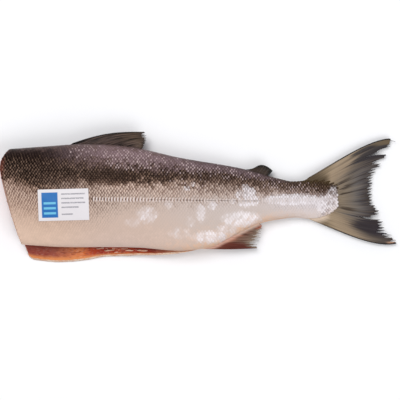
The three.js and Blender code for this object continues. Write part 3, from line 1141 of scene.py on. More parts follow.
class Growth:
    """The geometry trees: overlapping tiles on a skin, and tubes along paths."""

    def __init__(self) -> None:
        """Build both trees."""
        self.tiles = self._tiles()
        self.tubes = self._tubes()

    @staticmethod
    def _named(net: Wiring, name: str, kind: str = "FLOAT_VECTOR") -> Socket:
        """A named attribute of the points."""
        return net.out("GeometryNodeInputNamedAttribute", {"Name": name}, data_type=kind)

    @staticmethod
    def _stored(net: Wiring, shape: Socket, name: str, value: Socket, **kinds: str) -> Socket:
        """A shape whose points or corners carry a value under a name."""
        inputs = {"Geometry": shape, "Name": name, "Value": value}
        return net.out("GeometryNodeStoreNamedAttribute", inputs, **kinds)

    @staticmethod
    def _finished(net: Wiring, shape: Socket, finish: Socket) -> Tree:
        """End a tree with smooth shading, real geometry and the material.

        Args:
            net: The tree's wiring.
            shape: The grown shape.
            finish: The material.

        Returns:
            The tree.
        """
        soft = net.out("GeometryNodeSetShadeSmooth", {"Geometry": shape})
        real = net.out("GeometryNodeRealizeInstances", {0: soft})
        dressed = net.out("GeometryNodeSetMaterial", {"Geometry": real, "Material": finish})
        net.node("NodeGroupOutput", {"Geometry": dressed})
        return net.tree

    def _tiles(self) -> Tree:
        """Low domes on points, turned by the points' own directions and tilted so that hind edges lift.

        Returns:
            The tree.
        """
        inputs = [
            ("Geometry", "Geometry"), ("Sides", "Int", 9), ("Length", "Float", 0.0022),
            ("Width", "Float", 0.0019), ("Height", "Float", 0.0003), ("Tilt", "Float", 0.08),
            ("Looseness", "Float", 0.03), ("Cells", "Float", 70.0), ("Seed", "Int", SEED),
            ("Finish", "Material"),
        ]
        net = Wiring.group("tiles", "GeometryNodeTree", inputs, {"Geometry": "Geometry"})
        given = net.node("NodeGroupInput").outputs
        on_points = {"data_type": "FLOAT", "domain": "POINT"}
        on_corners = {"data_type": "FLOAT2", "domain": "CORNER"}
        inputs = {"Vertices": given["Sides"], "Side Segments": 2, "Radius Top": 0.0, "Radius Bottom": 1.0,
                  "Depth": 1.0}
        cone = net.node("GeometryNodeMeshCone", inputs, fill_type="NGON").outputs
        x, y, _ = net.node("ShaderNodeSeparateXYZ", {0: net.out("GeometryNodeInputPosition")}).outputs
        square = net.plus(net.sum("POWER", x, 2.0), net.sum("POWER", y, 2.0))
        rimmed = self._stored(net, cone["Mesh"], "rim", net.sum("SQRT", square), **on_points)
        lined = self._stored(net, rimmed, "hind", x, **on_points)
        inputs = {"Geometry": lined, "Position": net.vector(x, y, net.less(square))}
        dome = net.out("GeometryNodeSetPosition", inputs)
        tile = self._stored(net, dome, "OFBake", cone["UV Map"], **on_corners)
        inputs = {"Primary Axis": self._named(net, "facing"), "Secondary Axis": self._named(net, "tailward")}
        aim = net.out("FunctionNodeAxesToRotation", inputs, primary_axis="Z", secondary_axis="X")
        inputs = {"Min": (-1.0, -1.0, -1.0), "Max": (1.0, 1.0, 1.0), "Seed": given["Seed"]}
        wobble = net.out("FunctionNodeRandomValue", inputs, data_type="FLOAT_VECTOR")
        parts = net.node("ShaderNodeSeparateXYZ", {0: wobble}).outputs
        roll, pitch, yaw = [net.times(part, given["Looseness"]) for part in parts]
        relief = self._named(net, "relief", "FLOAT")
        lift = net.times(given["Tilt"], net.sum("MAXIMUM", relief, 0.34))
        turn = net.vector(net.times(roll, relief), net.minus(net.times(pitch, relief), lift), yaw)
        inputs = {"Rotation": aim, "Rotate By": net.out("FunctionNodeEulerToRotation", {0: turn})}
        turned = net.out("FunctionNodeRotateRotation", inputs, rotation_space="LOCAL")
        high = net.times(given["Height"], net.sum("MAXIMUM", relief, 0.16))
        size = net.vector(given["Length"], given["Width"], high)
        inputs = {0: size, "Scale": self._named(net, "grow", "FLOAT")}
        size = net.out("ShaderNodeVectorMath", inputs, operation="SCALE")
        inputs = {"Points": given["Geometry"], "Instance": tile, "Rotation": turned, "Scale": size}
        real = net.out("GeometryNodeRealizeInstances", {0: net.out("GeometryNodeInstanceOnPoints", inputs)})
        inputs = {0: self._named(net, "OFBake"), 1: (1.0, 2.0, 1.0)}
        tall = net.out("ShaderNodeVectorMath", inputs, operation="MULTIPLY")
        moved = net.out("ShaderNodeVectorMath", {0: tall, 1: self._named(net, "cell")}, operation="ADD")
        inputs = {0: moved, "Scale": net.sum("DIVIDE", 1.0, given["Cells"])}
        packed = net.out("ShaderNodeVectorMath", inputs, operation="SCALE")
        mapped = self._stored(net, real, "OFBake", packed, **on_corners)
        on_rim = net.sum("GREATER_THAN", self._named(net, "rim", "FLOAT"), 0.99)
        split = net.out("GeometryNodeSplitEdges", {"Mesh": mapped, "Selection": on_rim})
        return self._finished(net, split, given["Finish"])

    def _tubes(self) -> Tree:
        """Round tubes along paths, as thick as the paths' points say.

        Returns:
            The tree.
        """
        inputs = [("Geometry", "Geometry"), ("Sides", "Int", 6), ("Finish", "Material")]
        net = Wiring.group("tubes", "GeometryNodeTree", inputs, {"Geometry": "Geometry"})
        shape, sides, finish, _ = net.node("NodeGroupInput").outputs
        ring = net.out("GeometryNodeCurvePrimitiveCircle", {"Resolution": sides, "Radius": 1.0})
        tube = net.out("GeometryNodeCurveToMesh", {
            "Curve": net.out("GeometryNodeMeshToCurve", {"Mesh": shape}),
            "Profile Curve": ring,
            "Scale": self._named(net, "thickness", "FLOAT"),
            "Fill Caps": True,
        })
        return self._finished(net, tube, finish)


@dataclass(frozen=True)
class Workshop:
    """What every sub-assembly needs: the form, its place and the trees."""

    form: FishForm
    placing: Placing
    growth: Growth

    def tubes(self, name: str, paths: Sequence[dict], finish: WetFinish, sides: int = 6) -> None:
        """Grow tubes along paths.

        Args:
            name: The piece's name.
            paths: For each path its points in fish millimetres, and numbers for each point by name.
            finish: The finish.
            sides: Sides of each tube.
        """
        facts = {key: np.concatenate([path[key] for path in paths]) for key in paths[0]}
        starts = set(np.cumsum([len(path["points"]) for path in paths]).tolist())
        edges = [(i - 1, i) for i in range(1, len(facts["points"])) if i not in starts]
        mesh = new_mesh(name, self.placing.metres(facts.pop("points")), [], edges)
        put_numbers(mesh, facts)
        sizes = {"Sides": sides, "Finish": finish.make()}
        attach(grown(new_object(name, mesh), self.growth.tubes, sizes))


# Sub-assemblies


# Oval patches of glints: silvery skin with painted reflection.
SILVER_GLINT_PATCHES = tuple(Patch(*row) for row in (
    (304, 15, 5, 7, 0.9), (311, 9, 9, 9, 1.0), (316, 0, 7, 9, 1.0), (296, 7, 4, 9, 0.85),
    (304, -4, 9, 6, 0.9), (289, -1, 7, 4, 0.75), (300, -24, 31, 13, 0.8), (249, -16, 7, 15, 0.75),
    (263, -6, 7, 8, 0.75), (264, -46, 34, 10, 0.8), (284, -37, 24, 9, 0.6), (364, 1, 46, 9, 1.0),
    (402, -4, 10, 15, 1.0), (415, -1, 10, 24, 0.85), (231, 15, 6, 4, 0.8), (240, 20, 4, 5, 0.7),
    (305, 5, 8, 6, 0.9), (236, -27, 7, 9, 0.5), (209, -6, 7, 6, 0.6), (182, -18, 17, 14, 0.65),
    (222, -41, 18, 10, 0.5), (166, -28, 15, 8, 0.5),
))
# Oval patches on the back where scales carry painted sparkle, a highlight of light from above.
SPARKLE_PATCHES = tuple(Patch(*row) for row in (
    (110, 60, 30, 13, 0.42), (165, 50, 46, 17, 0.54), (220, 42, 28, 13, 0.5), (252, 34, 22, 13, 0.4),
    (278, 36, 22, 12, 0.6), (306, 31, 18, 9, 0.45), (336, 22, 16, 9, 0.7), (372, 16, 28, 7, 0.4),
    (232, 20, 28, 10, 0.3),
))
DARK_PATCHES = tuple(Patch(*row) for row in (
    (134, 28, 36, 12, 0.9), (60, 32, 44, 14, 0.35), (200, 28, 16, 6, 0.4), (262, 27, 16, 6, 0.6),
))


def strongest(patches: Sequence[Patch], x: Array, y: Array) -> Array:
    """The strongest of several patches at each place."""
    return np.max([patch(x, y) for patch in patches], axis=0)


def glints(x: Array, y: Array, luck: Array) -> Array:
    """Slanting streaks of painted reflection in the silvery patches, with brighter painted flecks among them.

    Args:
        x: Places of the scales along the fish.
        y: Places across it.
        luck: A random share for each scale.

    Returns:
        How silvery each scale is: silvery skin with painted reflection.
    """
    mask = strongest(SILVER_GLINT_PATCHES, x, y)
    ragged = 0.5 + 0.5 * ripple((x - 0.5 * y) / 14.0, y / 24.0, 0.9)
    streak = ease(mask * (0.5 + 0.8 * ragged), 0.16, 0.85)
    fleck = ease(mask * (0.5 + 0.6 * ragged) - luck, -0.1, 0.4)
    return np.clip(mask * (0.72 * streak + 0.34 * fleck), 0.0, 1.0)


class Cover(Enum):
    """What covers a face of the body, in the order of the body's materials."""

    SKIN = 0
    FLESH = 1
    LINING = 2
    EDGE = 3


BODY_FINISHES = (
    SkinFinish("skin", fineness=500.0, gloss=WARM_GLOSS),
    FleshFinish("flesh", fineness=600.0, smooth=0.2, dull=0.42, bump=0.4, coat=0.2, specular=0.35),
    LiningFinish("lining", fineness=520.0, smooth=0.2, dull=0.42, bump=0.3, coat=0.08, specular=0.2),
    TintedFinish("flap_edge", first=srgb(232, 210, 188), second=srgb(214, 170, 140),
                 stain=srgb(196, 120, 90)),
)


@dataclass(frozen=True)
class Body:
    """The skin, the head cut with the backbone in it, and the lining of the gut cavity."""

    shop: Workshop
    stations: int = 300
    flank_steps: int = 48
    cut_rows: int = 22
    cut_swell: float = 0.7
    crease: float = 52.0
    lump: float = 0.8
    fatty_place: float = 137.0
    fatty_reach: float = 13.0
    flap_width: float = 22.0
    far: float = 50.0
    near_cut: float = 60.0
    spine_y: float = 14.0
    spine_z: float = 24.0
    spine_profile: Knots = (
        (0.0, -1.6), (1.0, -1.3), (2.6, -0.4), (4.2, 0.5), (5.0, 0.8), (5.6, 0.4), (5.9, -0.6), (5.4, -3.0),
    )
    spine_plug: float = 3.4
    spine_steps: int = 40

    def build(self) -> None:
        """Build and dress the body and the backbone's cut end."""
        form = self.shop.form
        share = np.linspace(0, 1, self.stations)
        station = form.length * between(share, share * share * (3 - 2 * share), 0.25)
        rings, facts = self._rings(station)
        count, size = rings.shape[:2]
        number = np.arange(count * size).reshape(count, size)
        faces, kinds = self._shell(number, station)
        cut_points, cut_faces = self._head_cut(rings[0], number[0])
        points = np.concatenate([rings.reshape(-1, 3), cut_points, rings[-1].mean(axis=0, keepdims=True)])
        end, last = number[-1], len(points) - 1
        cap = [(int(end[(j + 1) % size]), int(end[j]), last) for j in range(size)]
        kinds += [Cover.FLESH.value] * len(cut_faces) + [Cover.SKIN.value] * len(cap)
        faces = outward(points / 100.0, faces + cut_faces + cap)
        mesh = new_mesh("body", self.shop.placing.metres(points), faces)
        mesh.polygons.foreach_set("material_index", kinds)
        extra = len(points) - count * size
        put_numbers(mesh, {
            name: np.concatenate([values.ravel(), np.full(extra, values.ravel()[-1])])
            for name, values in facts.items()
        })
        skin_gap = np.full(len(points), self.far)
        near = points[:, 0] < self.near_cut
        away = points[near][:, None, 1:] - rings[0, None, : 2 * self.flank_steps + 1, 1:]
        skin_gap[near] = np.sqrt((away**2).sum(axis=2)).min(axis=1)
        put_numbers(mesh, {
            "spine_gap": np.hypot(points[:, 1] - self.spine_y, points[:, 2] - self.spine_z),
            "skin_gap": skin_gap,
        })
        mesh.set_sharp_from_angle(angle=math.radians(self.crease))
        attach(new_object("body", mesh, *[finish.make() for finish in BODY_FINISHES]))
        self._backbone(points, cut_faces)

    def _rings(self, station: Array) -> tuple[Array, Facts]:
        """Points of all rings and the numbers that the finishes read.

        Args:
            station: Places of the rings along the fish.

        Returns:
            The points, rings by places round the ring, and the numbers by name in the same order.
        """
        form, n = self.shop.form, self.flank_steps
        at = station[:, None]
        rise = np.linspace(0, 1, n + 1)[None, :]
        upper = form.flank(Side.UPPER, at, rise)
        lower = form.flank(Side.LOWER, at, rise[:, -2::-1])
        wall = form.cavity(at, np.linspace(0, 1, 2 * n + 1)[None, :] ** 1.7)
        inset = wall[..., 1] - form.low_belly(at)
        lumpy = ease(form.vent - 12 - at, 0.0, 30.0) * ease(inset, 1.0, 4.0) * ease(26.0 - inset, 0.0, 8.0)
        fatty = np.exp(-(((at - self.fatty_place) / self.fatty_reach) ** 2))
        swell = ripple(at / 9.0, inset / 6.0, 0.7) * (0.12 + 0.4 * ease(at, 60.0, 100.0) + 0.9 * fatty)
        wall[..., 2] += self.lump * lumpy * (swell + 0.25)
        rings = np.concatenate([upper, lower, wall], axis=1)
        x, y = rings[..., 0], rings[..., 1]
        upper_tone = form.tone(Side.UPPER, x[:, : n + 1], y[:, : n + 1])
        lower_tone = form.tone(Side.LOWER, x[:, n + 1 :], y[:, n + 1 :])
        lining = slice(2 * n + 1, None)
        insets, lumps = np.zeros_like(x), np.zeros_like(x)
        insets[:, lining] = inset * self.flap_width / np.maximum(form.flap_drop(at), 4.0)
        lumps[:, lining] = 0.75 * fatty
        facts = {
            "tone": np.concatenate([upper_tone, lower_tone], axis=1),
            "along": np.broadcast_to(at / form.length, x.shape),
            # The skin takes a weaker share of the glints: silvery skin with painted reflection.
            "silver": 0.35 * strongest(SILVER_GLINT_PATCHES, x, y),
            "inset": insets,
            "lumps": lumps,
        }
        return rings, facts

    def _shell(self, number: Array, station: Array) -> tuple[list, list]:
        """Faces between neighbouring rings and what covers each.

        Args:
            number: Point numbers, rings by places round the ring.
            station: Places of the rings along the fish.

        Returns:
            The faces and the numbers of their covers.
        """
        skin_end, size = 2 * self.flank_steps, number.shape[1]
        place = np.arange(size)
        on_edge = (place == skin_end) | (place == size - 1)
        inside = np.where(on_edge, Cover.EDGE.value, Cover.LINING.value)
        is_open = (station[:-1, None] < self.shop.form.vent - 1) & (place >= skin_end)
        kinds = np.where(is_open, inside, Cover.SKIN.value)
        return quads(np.hstack([number, number[:, :1]])).tolist(), kinds.ravel().tolist()

    def _head_cut(self, ring: Array, number: Array) -> tuple[Array, list]:
        """Rows of points and faces from the skin to the cavity across the head cut.

        Args:
            ring: Points of the first ring.
            number: Their numbers in the mesh.

        Returns:
            The new points and the faces.
        """
        form, n, rows = self.shop.form, self.flank_steps, self.cut_rows
        place = np.arange(2 * n + 1)
        skin, wall = ring[place], ring[len(ring) - 1 - place]
        share = (np.arange(1, rows) / rows)[:, None]
        made = between(skin, wall, share[..., None])
        swell = self.cut_swell * ripple(made[..., 1] / 17.0, made[..., 2] / 13.0, 2.0) * np.sin(np.pi * share)
        behind = form.lower_cut_back * ease(place / (2 * n), 0.4, 1.0)
        made[..., 0] = form.cut_back(made[..., 1]) + behind + swell
        names = self.stations * len(ring) + np.arange(made.size // 3).reshape(made.shape[:2])
        names[:, 0], names[:, -1] = number[0], number[2 * n]
        grid = np.vstack([number[place], names, number[len(ring) - 1 - place]])
        faces = [tuple(dict.fromkeys(face)) for face in quads(grid.T).tolist()]
        return made.reshape(-1, 3), [face for face in faces if len(face) > 2]

    def _backbone(self, points: Array, faces: list) -> None:
        """The cut end of the backbone, a shallow bony cup in the head cut.

        Args:
            points: All points of the body.
            faces: The faces of the head cut.
        """
        form, steps = self.shop.form, self.spine_steps
        middles = np.array([points[list(face)].mean(axis=0) for face in faces])
        centre = middles[np.argmin(np.hypot(middles[:, 1] - self.spine_y, middles[:, 2] - self.spine_z))]
        slope = form.cut_back(self.spine_y + 1) - form.cut_back(self.spine_y - 1)
        out = np.array([-1.0, slope / 2, 0.0])
        out /= np.linalg.norm(out)
        side = np.array([0.0, 0.0, 1.0])
        up = np.cross(out, side)
        angle = np.linspace(0, 2 * math.pi, steps, endpoint=False)
        radius, height = np.array(self.spine_profile[1:]).T[..., None]
        wave = (radius * (1 + 0.03 * np.sin(5 * angle + radius)))[..., None]
        rings = np.cos(angle)[:, None] * wave * up + np.sin(angle)[:, None] * wave * side
        rings = (centre + rings + height[..., None] * out).reshape(-1, 3)
        ends = [centre + self.spine_profile[0][1] * out, centre - self.spine_plug * out]
        made = np.concatenate([rings, ends])
        cup, plug = len(made) - 2, len(made) - 1
        number = np.arange(len(rings)).reshape(-1, steps)
        number = np.hstack([number, number[:, :1]])
        solid = quads(number.T).tolist()
        solid += [(k, j, cup) for j, k in zip(number[0], number[0, 1:])]
        solid += [(j, k, plug) for j, k in zip(number[-1], number[-1, 1:])]
        mesh = new_mesh("backbone", self.shop.placing.metres(made), outward(made / 100.0, solid))
        bone = TintedFinish("bone", first=srgb(226, 204, 180), second=srgb(206, 164, 136),
                            stain=srgb(150, 66, 48), cloud_scale=260.0)
        attach(new_object("backbone", mesh, bone.make()))


@dataclass(frozen=True)
class ScaleCoat:
    """Rows of overlapping scales on both flanks, and the pored scales of the lateral line."""

    shop: Workshop
    pitch: float = 3.75
    row_gap: float = 2.5
    size: tuple[float, float, float] = (2.7, 2.3, 0.34)
    tilt: float = 0.085
    looseness: float = 0.03
    growth: Profile = Profile(((0, 1.0), (120, 1.05), (220, 1.06), (340, 0.97), (421, 0.9)))
    first_station: float = 2.3
    margin: float = 2.2
    flap_margin: float = 4.4
    ridge_margin: float = 1.0
    least_height: float = 0.05
    light_gaps: Pair = (104.0, 250.0)
    worn: Pair = (120.0, 160.0)
    tail_flank: Pair = (325.0, 345.0)
    tail_base: Pair = (390.0, 402.0)
    tail_bare: Pair = (394.0, 404.0)
    pore_size: tuple[float, float, float] = (0.95, 3.1, 0.3)
    pores_from: float = 114.0
    pore_gap: float = 0.42
    thread_run: Pair = (186.0, 318.0)
    thread_gap: float = 0.8
    thread_steps: int = 10

    def build(self) -> None:
        """Build and dress both coats and the lateral line."""
        finish = ScaleFinish("scales", fineness=900.0, smooth=0.24, dull=0.5, bump=0.08, coat=0.02,
                             specular=0.1, gloss=WARM_GLOSS, shine=0.12)
        scales = finish.make()
        for side in Side:
            self._coat(side, scales)
        self._pores(scales)
        self._thread()

    def _columns(self, start: float) -> Array:
        """Stations of the scales of every second row.

        Args:
            start: The first station.

        Returns:
            All stations.
        """
        places = [start]
        while places[-1] < self.shop.form.length - 1.5:
            places.append(places[-1] + self.pitch * float(self.growth(places[-1])))
        return np.array(places)

    def _lattice(self, side: Side) -> tuple[Array, Array, Array]:
        """Where the scales of one flank sit.

        Args:
            side: The flank.

        Returns:
            Station, girth and row number of every scale.
        """
        form = self.shop.form
        even = self._columns(self.first_station)
        girth = np.linspace(0, 1, 400)
        found: list[tuple[float, float, int]] = []
        for odd, columns in enumerate((even, (even[1:] + even[:-1]) / 2)):
            for station in columns:
                line = form.flank(side, station, girth)
                arc = np.concatenate([[0], np.cumsum(np.linalg.norm(np.diff(line, axis=0), axis=1))])
                middle = float(np.interp(form.lateral(station), line[:, 1], arc))
                gap = self.row_gap * float(self.growth(station))
                on_flap = side is Side.LOWER and station < form.vent
                low = math.ceil(((self.flap_margin if on_flap else self.margin) - middle) / gap)
                high = math.floor((arc[-1] - self.ridge_margin - middle) / gap)
                for row in range(low, high + 1):
                    if row % 2 == odd:
                        found.append((station, float(np.interp(middle + row * gap, arc, girth)), row))
        station, at, row = np.array(found).T
        shake = np.random.default_rng(SEED).random((2, len(row))) - 0.5
        swayed = station + 0.9 * shake[0] + 0.5 * ripple(station / 31.0, at * 4.0, 0.2)
        return np.maximum(self.first_station, swayed), np.clip(at + 0.005 * shake[1], 0.01, 0.99), row

    def _facts(self, side: Side, station: Array, girth: Array, gap: float) -> Facts:
        """Points of tiles and what the tile tree and the finish read.

        Args:
            side: The flank.
            station: Places of the tiles along the fish.
            girth: Places round the fish.
            gap: How far the tiles lie above the skin.

        Returns:
            The points in fish millimetres and the numbers for each point, by name.
        """
        form = self.shop.form
        out, tailward = form.facing(side, station, girth)
        points = form.flank(side, station, girth) + out * gap
        count = len(points)
        chance = np.random.default_rng(SEED + len(side.value)).random((6, count))
        x, y = points[:, 0], points[:, 1]
        dark = strongest(DARK_PATCHES, x, y)
        tone = between(form.tone(side, x, y), 0.74, 0.32 * dark)
        worn = ease(x, *self.worn)
        uneven_tone = between(0.055, 0.085, worn) * (chance[1] - 0.5)
        uneven_tone += 0.024 * ripple(x / 23.0, y / 14.0, 1.9)
        # Painted sparkle: within the sparkle patches on the back, a random share of scales catch the light.
        lucky = ease(strongest(SPARKLE_PATCHES, x, y) - chance[3], 0.0, 0.16)
        blotch = ease(0.5 * ripple(x / 6.0, y / 5.0, 0.4) + 0.9 * chance[4], 0.55, 0.75)
        bare = ease(x, *self.tail_bare) * blotch
        rough_flank = 0.5 * ease(x, *self.tail_flank) * ease(16 - np.abs(y), 0.0, 8.0)
        rough = np.maximum(0.85 * ease(x, *self.tail_base), rough_flank)
        relief = between(0.06, 1.0, ease(tone - 0.2 * worn, 0.1, 0.47)) * (1 - 0.6 * ease(tone, 0.85, 1.0))
        cells = math.ceil(math.sqrt(count))
        order = np.arange(count)
        return {
            "points": points,
            "facing": out,
            "tailward": tailward,
            "grow": self.growth(station) * (0.9 + 0.2 * chance[0]),
            "relief": np.maximum(relief, rough),
            "cell": np.stack([order % cells, order // cells, 0 * order], axis=1),
            "tone": np.clip(np.maximum(tone + uneven_tone * (1 - 0.7 * dark), 0.53 * bare), 0, 1),
            "along": x / form.length,
            # Glint share: silvery skin with painted reflection, weaker on bare patches at the tail.
            "silver": glints(x, y, chance[5]) * (1 - 0.8 * bare),
            # Painted sparkle on the back, on scales that catch the light from above.
            "speck": lucky * (0.25 + 0.5 * chance[4]),
            "chance": chance[2] * (1 - 0.85 * dark),
        }

    def _tiles(self, name: str, facts: Facts, size: Sequence[float], inputs: dict) -> Piece:
        """Grow tiles on points.

        Args:
            name: The piece's name.
            facts: The points and the numbers for each point, by name.
            size: Half length, half width and height of a tile.
            inputs: Other inputs of the tile tree.

        Returns:
            The piece.
        """
        points = facts.pop("points")
        mesh = new_mesh(name, self.shop.placing.metres(points), [])
        put_numbers(mesh, facts)
        sizes = {key: value * MM for key, value in zip(("Length", "Width", "Height"), size)}
        sizes["Cells"] = float(math.ceil(math.sqrt(len(points))))
        return grown(new_object(name, mesh), self.shop.growth.tiles, {**sizes, **inputs})

    def _coat(self, side: Side, finish: Material) -> None:
        """The scales of one flank as one piece.

        Args:
            side: The flank.
            finish: The material.
        """
        station, girth, row = self._lattice(side)
        facts = self._facts(side, station, girth, 0.0)
        tilt = 0.5 * self.tilt
        if side is Side.UPPER:
            tilt = self.tilt
            low, high = self.light_gaps
            gaps = (row == 0) & (station > low) & (station < high)
            facts["tone"][gaps] = between(0.65, 0.59, ease(station[gaps], 130.0, 240.0))
        inputs = {"Tilt": tilt, "Looseness": self.looseness, "Finish": finish}
        coat = self._tiles(f"scales_{side.value}", facts, self.size, inputs)
        places = np.empty(3 * len(coat.data.vertices), dtype=np.float32)
        coat.data.vertices.foreach_get("co", places)
        places[2::3] = np.maximum(places[2::3], self.least_height * MM)
        coat.data.vertices.foreach_set("co", places)
        attach(coat)

    def _pores(self, finish: Material) -> None:
        """Upright light tiles of the lateral line on the upper flank.

        Args:
            finish: The material.
        """
        form = self.shop.form
        station = self._columns(4.0)[:-3]
        station = station[station > self.pores_from]
        facts = self._facts(Side.UPPER, station, form.girth_at(station, form.lateral(station)), self.pore_gap)
        facts["tone"] = np.full(len(station), 0.2)
        # The pores take a share of glint, painted reflection on silvery scales, less towards the tail.
        facts["silver"] = between(0.58, 0.36, ease(station, 150.0, 230.0))
        inputs = {"Sides": 8, "Tilt": 0.1, "Looseness": 0.06, "Finish": finish}
        attach(self._tiles("lateral_pores", facts, self.pore_size, inputs))

    def _thread(self) -> None:
        """The fine dark groove line of the lateral line, in short broken runs."""
        form, steps = self.shop.form, self.thread_steps
        place, end = self.thread_run
        taper = np.sin(np.linspace(0.15, math.pi - 0.15, steps))
        paths = []
        while place < end:
            turn = len(paths)
            run = 5.0 + 16.0 * float(uneven(turn))
            station = np.linspace(place, place + run, steps)
            girth = form.girth_at(station, form.lateral(station))
            out, _ = form.facing(Side.UPPER, station, girth)
            points = form.flank(Side.UPPER, station, girth) + out * self.thread_gap
            paths.append({"points": points, "thickness": (0.08 + 0.12 * taper) * MM})
            place += run + 1.2 + 3.0 * float(uneven(turn + 40))
        groove = TintedFinish("lateral_groove", first=srgb(92, 74, 66), second=srgb(116, 96, 86),
                              stain=srgb(70, 55, 48))
        self.shop.tubes("lateral_thread", paths, groove)


@dataclass(frozen=True)
class Fan:
    """A fin as a fan of rays: a runs from the first ray to the last, r from the root to the tip."""

    shop: Workshop
    name: str
    rays: int
    root: float
    edge: float
    fraying: float
    finish: FinFinish
    ray_finish: FinFinish | None = None
    per_ray: int = 10
    along: int = 44
    along_ray: int = 18
    teeth: int = 2
    notch: float = 0.03
    ray_root: float = 0.9
    ray_tip: float = 0.3
    overhang: float = 0.0
    slack: float = 0.12
    crease: float = 60.0

    def ends(self, a: Array) -> tuple[Array, ...]:
        """Where unworn rays start and end: both x and y."""
        raise NotImplementedError

    def bow(self, a: Array, r: Array) -> Array:
        """How far rays bow upwards."""
        raise NotImplementedError

    def lift(self, x: Array, y: Array, a: Array, r: Array) -> Array:
        """Height over the table."""
        raise NotImplementedError

    def off(self, points: Array) -> Array:
        """How far points lie outside the body's outline, in millimetres."""
        raise NotImplementedError

    def splits(self, a: Array) -> Array:
        """How far single tears reach in from the edge."""
        return 0.0 * a

    def wear(self, a: Array) -> Array:
        """How much of the fraying each place takes."""
        return ease(np.minimum(a, 1 - a), 0.03, 0.15)

    def on_ray(self, a: Array) -> Array:
        """1 on a ray and 0 midway between two."""
        return np.cos(np.pi * a * self.rays) ** 2

    def reach(self, a: Array) -> Array:
        """The share of its full length that the fin keeps at a, with worn ends and torn skin.

        Args:
            a: Places across the fan.

        Returns:
            The share at each place.
        """
        worn = (1 - self.on_ray(a)) * 0.35 + uneven(np.round(a * self.rays) + self.rays)
        count = self.rays * self.teeth
        tooth = np.abs(np.sin(np.pi * a * count)) ** 1.4
        ragged = tooth * (0.35 + uneven(np.floor(a * count) + 3))
        return 1 - self.wear(a) * (self.fraying * worn + self.notch * ragged) - self.splits(a)

    def surface(self, a: Array, r: Array) -> Array:
        """Points of the fin's middle sheet.

        Args:
            a: Places across the fan.
            r: Shares of the rays' full length.

        Returns:
            Points in fish millimetres.
        """
        base_x, base_y, tip_x, tip_y = self.ends(a)
        x = between(base_x, tip_x + self.overhang * self.wear(a), r)
        y = between(base_y, tip_y, r) + self.bow(a, r)
        return np.stack(np.broadcast_arrays(x, y, self.lift(x, y, a, r)), axis=-1)

    def facts(self, points: Array, share: Array, a: Array) -> Facts:
        """What the finish reads at points of the fin, by name."""
        return {"reach": share, "spread": a, "ray": a * self.rays, "off": self.off(points)}

    def build(self) -> None:
        """Build and dress the fin's skin and its rays."""
        a = np.linspace(0, 1, self.rays * self.per_ray + 1)[:, None]
        step = np.linspace(0, 1, self.along + 1)[None, :]
        r = step * self.reach(a)
        sheet = self.surface(a, r)
        sheet[..., 2] += self.slack * ripple(a * self.rays / 2.3, r * 3.0, 1.3) * ease(r, 0.3, 0.8)
        half = between(self.root, self.edge, r) / 2 * (1 + 0.5 * (self.on_ray(a) - 0.5))
        rise = np.stack([0 * half, 0 * half, half], axis=-1)
        points, faces = slab(sheet + rise, sheet - rise)
        mesh = new_mesh(self.name, self.shop.placing.metres(points), faces)
        facts = self.facts(sheet, step + 0 * a, a + 0 * r)
        put_numbers(mesh, {key: np.tile(values.ravel(), 2) for key, values in facts.items()})
        mesh.set_sharp_from_angle(angle=math.radians(self.crease))
        attach(new_object(f"{self.name}_fin", mesh, self.finish.make()))
        if self.ray_finish is not None:
            self.shop.tubes(f"{self.name}_rays", self.paths(), self.ray_finish)

    def branches(self, ray: int) -> list[tuple[float, float, float, float]]:
        """One ray's runs: where each starts and ends across, and its first and last share of the length."""
        return [(float(ray), float(ray), 0.05, 1.0)]

    def paths(self) -> list[dict]:
        """Paths of all rays.

        Returns:
            For each path its points, its thickness and what the finish reads.
        """
        made = []
        span = np.linspace(0, 1, self.along_ray)
        for ray in range(self.rays + 1):
            for start, end, first, last in self.branches(ray):
                a = np.clip(between(start, end, ease(span, 0.0, 1.0)) / self.rays, 0.004, 0.996)
                share = between(first, last, span)
                r = share * self.reach(a) * (1 + 0.012 * uneven(ray + 9 * end))
                thick = between(self.ray_root, self.ray_tip, share) * between(1.0, 0.85, span)
                made.append(self.path(self.surface(a, r), thick, share, a))
        return made

    def path(self, points: Array, thick: Array, share: Array, a: Array) -> dict:
        """One path of a ray with what the tubes and the finish read."""
        return {"points": points, "thickness": thick * MM, **self.facts(points, share, a)}


@dataclass(frozen=True)
class RidgeFan(Fan):
    """A fin on the back or the belly line, folded back along the body."""

    front: float = 84.0
    rear: float = 170.0
    tips: Knots = ((179, 85.4), (187, 78), (176, 64))
    below: bool = False
    sink: float = 7.0
    rise: float = 5.5
    leaning: float = -0.1
    swing: float = 5.0

    def ridge(self, x: Array) -> Array:
        """The line that the fin stands on."""
        return self.shop.form.belly(x) if self.below else self.shop.form.back(x)

    def off(self, points: Array) -> Array:
        """How far points lie outside the ridge, in millimetres."""
        away = points[..., 1] - self.ridge(points[..., 0])
        return -away if self.below else away

    def ends(self, a: Array) -> tuple[Array, ...]:
        """From the ridge, sunk into the body, to a bend from the first tip to the last.

        Args:
            a: Places across the fan.

        Returns:
            The x and y of the start and of the end at each place.
        """
        x = between(self.front, self.rear, a)
        sunk = self.sink * between(0.15, 1.0, ease(a, 0.0, 0.3))
        shares = ((1 - a) ** 2, 2 * a * (1 - a), a**2)
        tips = [shares[0] * p + shares[1] * q + shares[2] * t for p, q, t in zip(*self.tips)]
        return x, self.ridge(x) + (sunk if self.below else -sunk), *tips

    def bow(self, a: Array, r: Array) -> Array:
        """Most at the first ray."""
        return self.rise * (1 - a) * np.sin(np.pi * r)

    def lift(self, x: Array, y: Array, a: Array, r: Array) -> Array:
        """At the body's middle height, leaning a little, with a slack wave."""
        lean = self.leaning * (y - self.ridge(x))
        return self.shop.form.median(x) + lean + 0.8 * np.sin(self.swing * a + (self.swing - 1) * r) * r


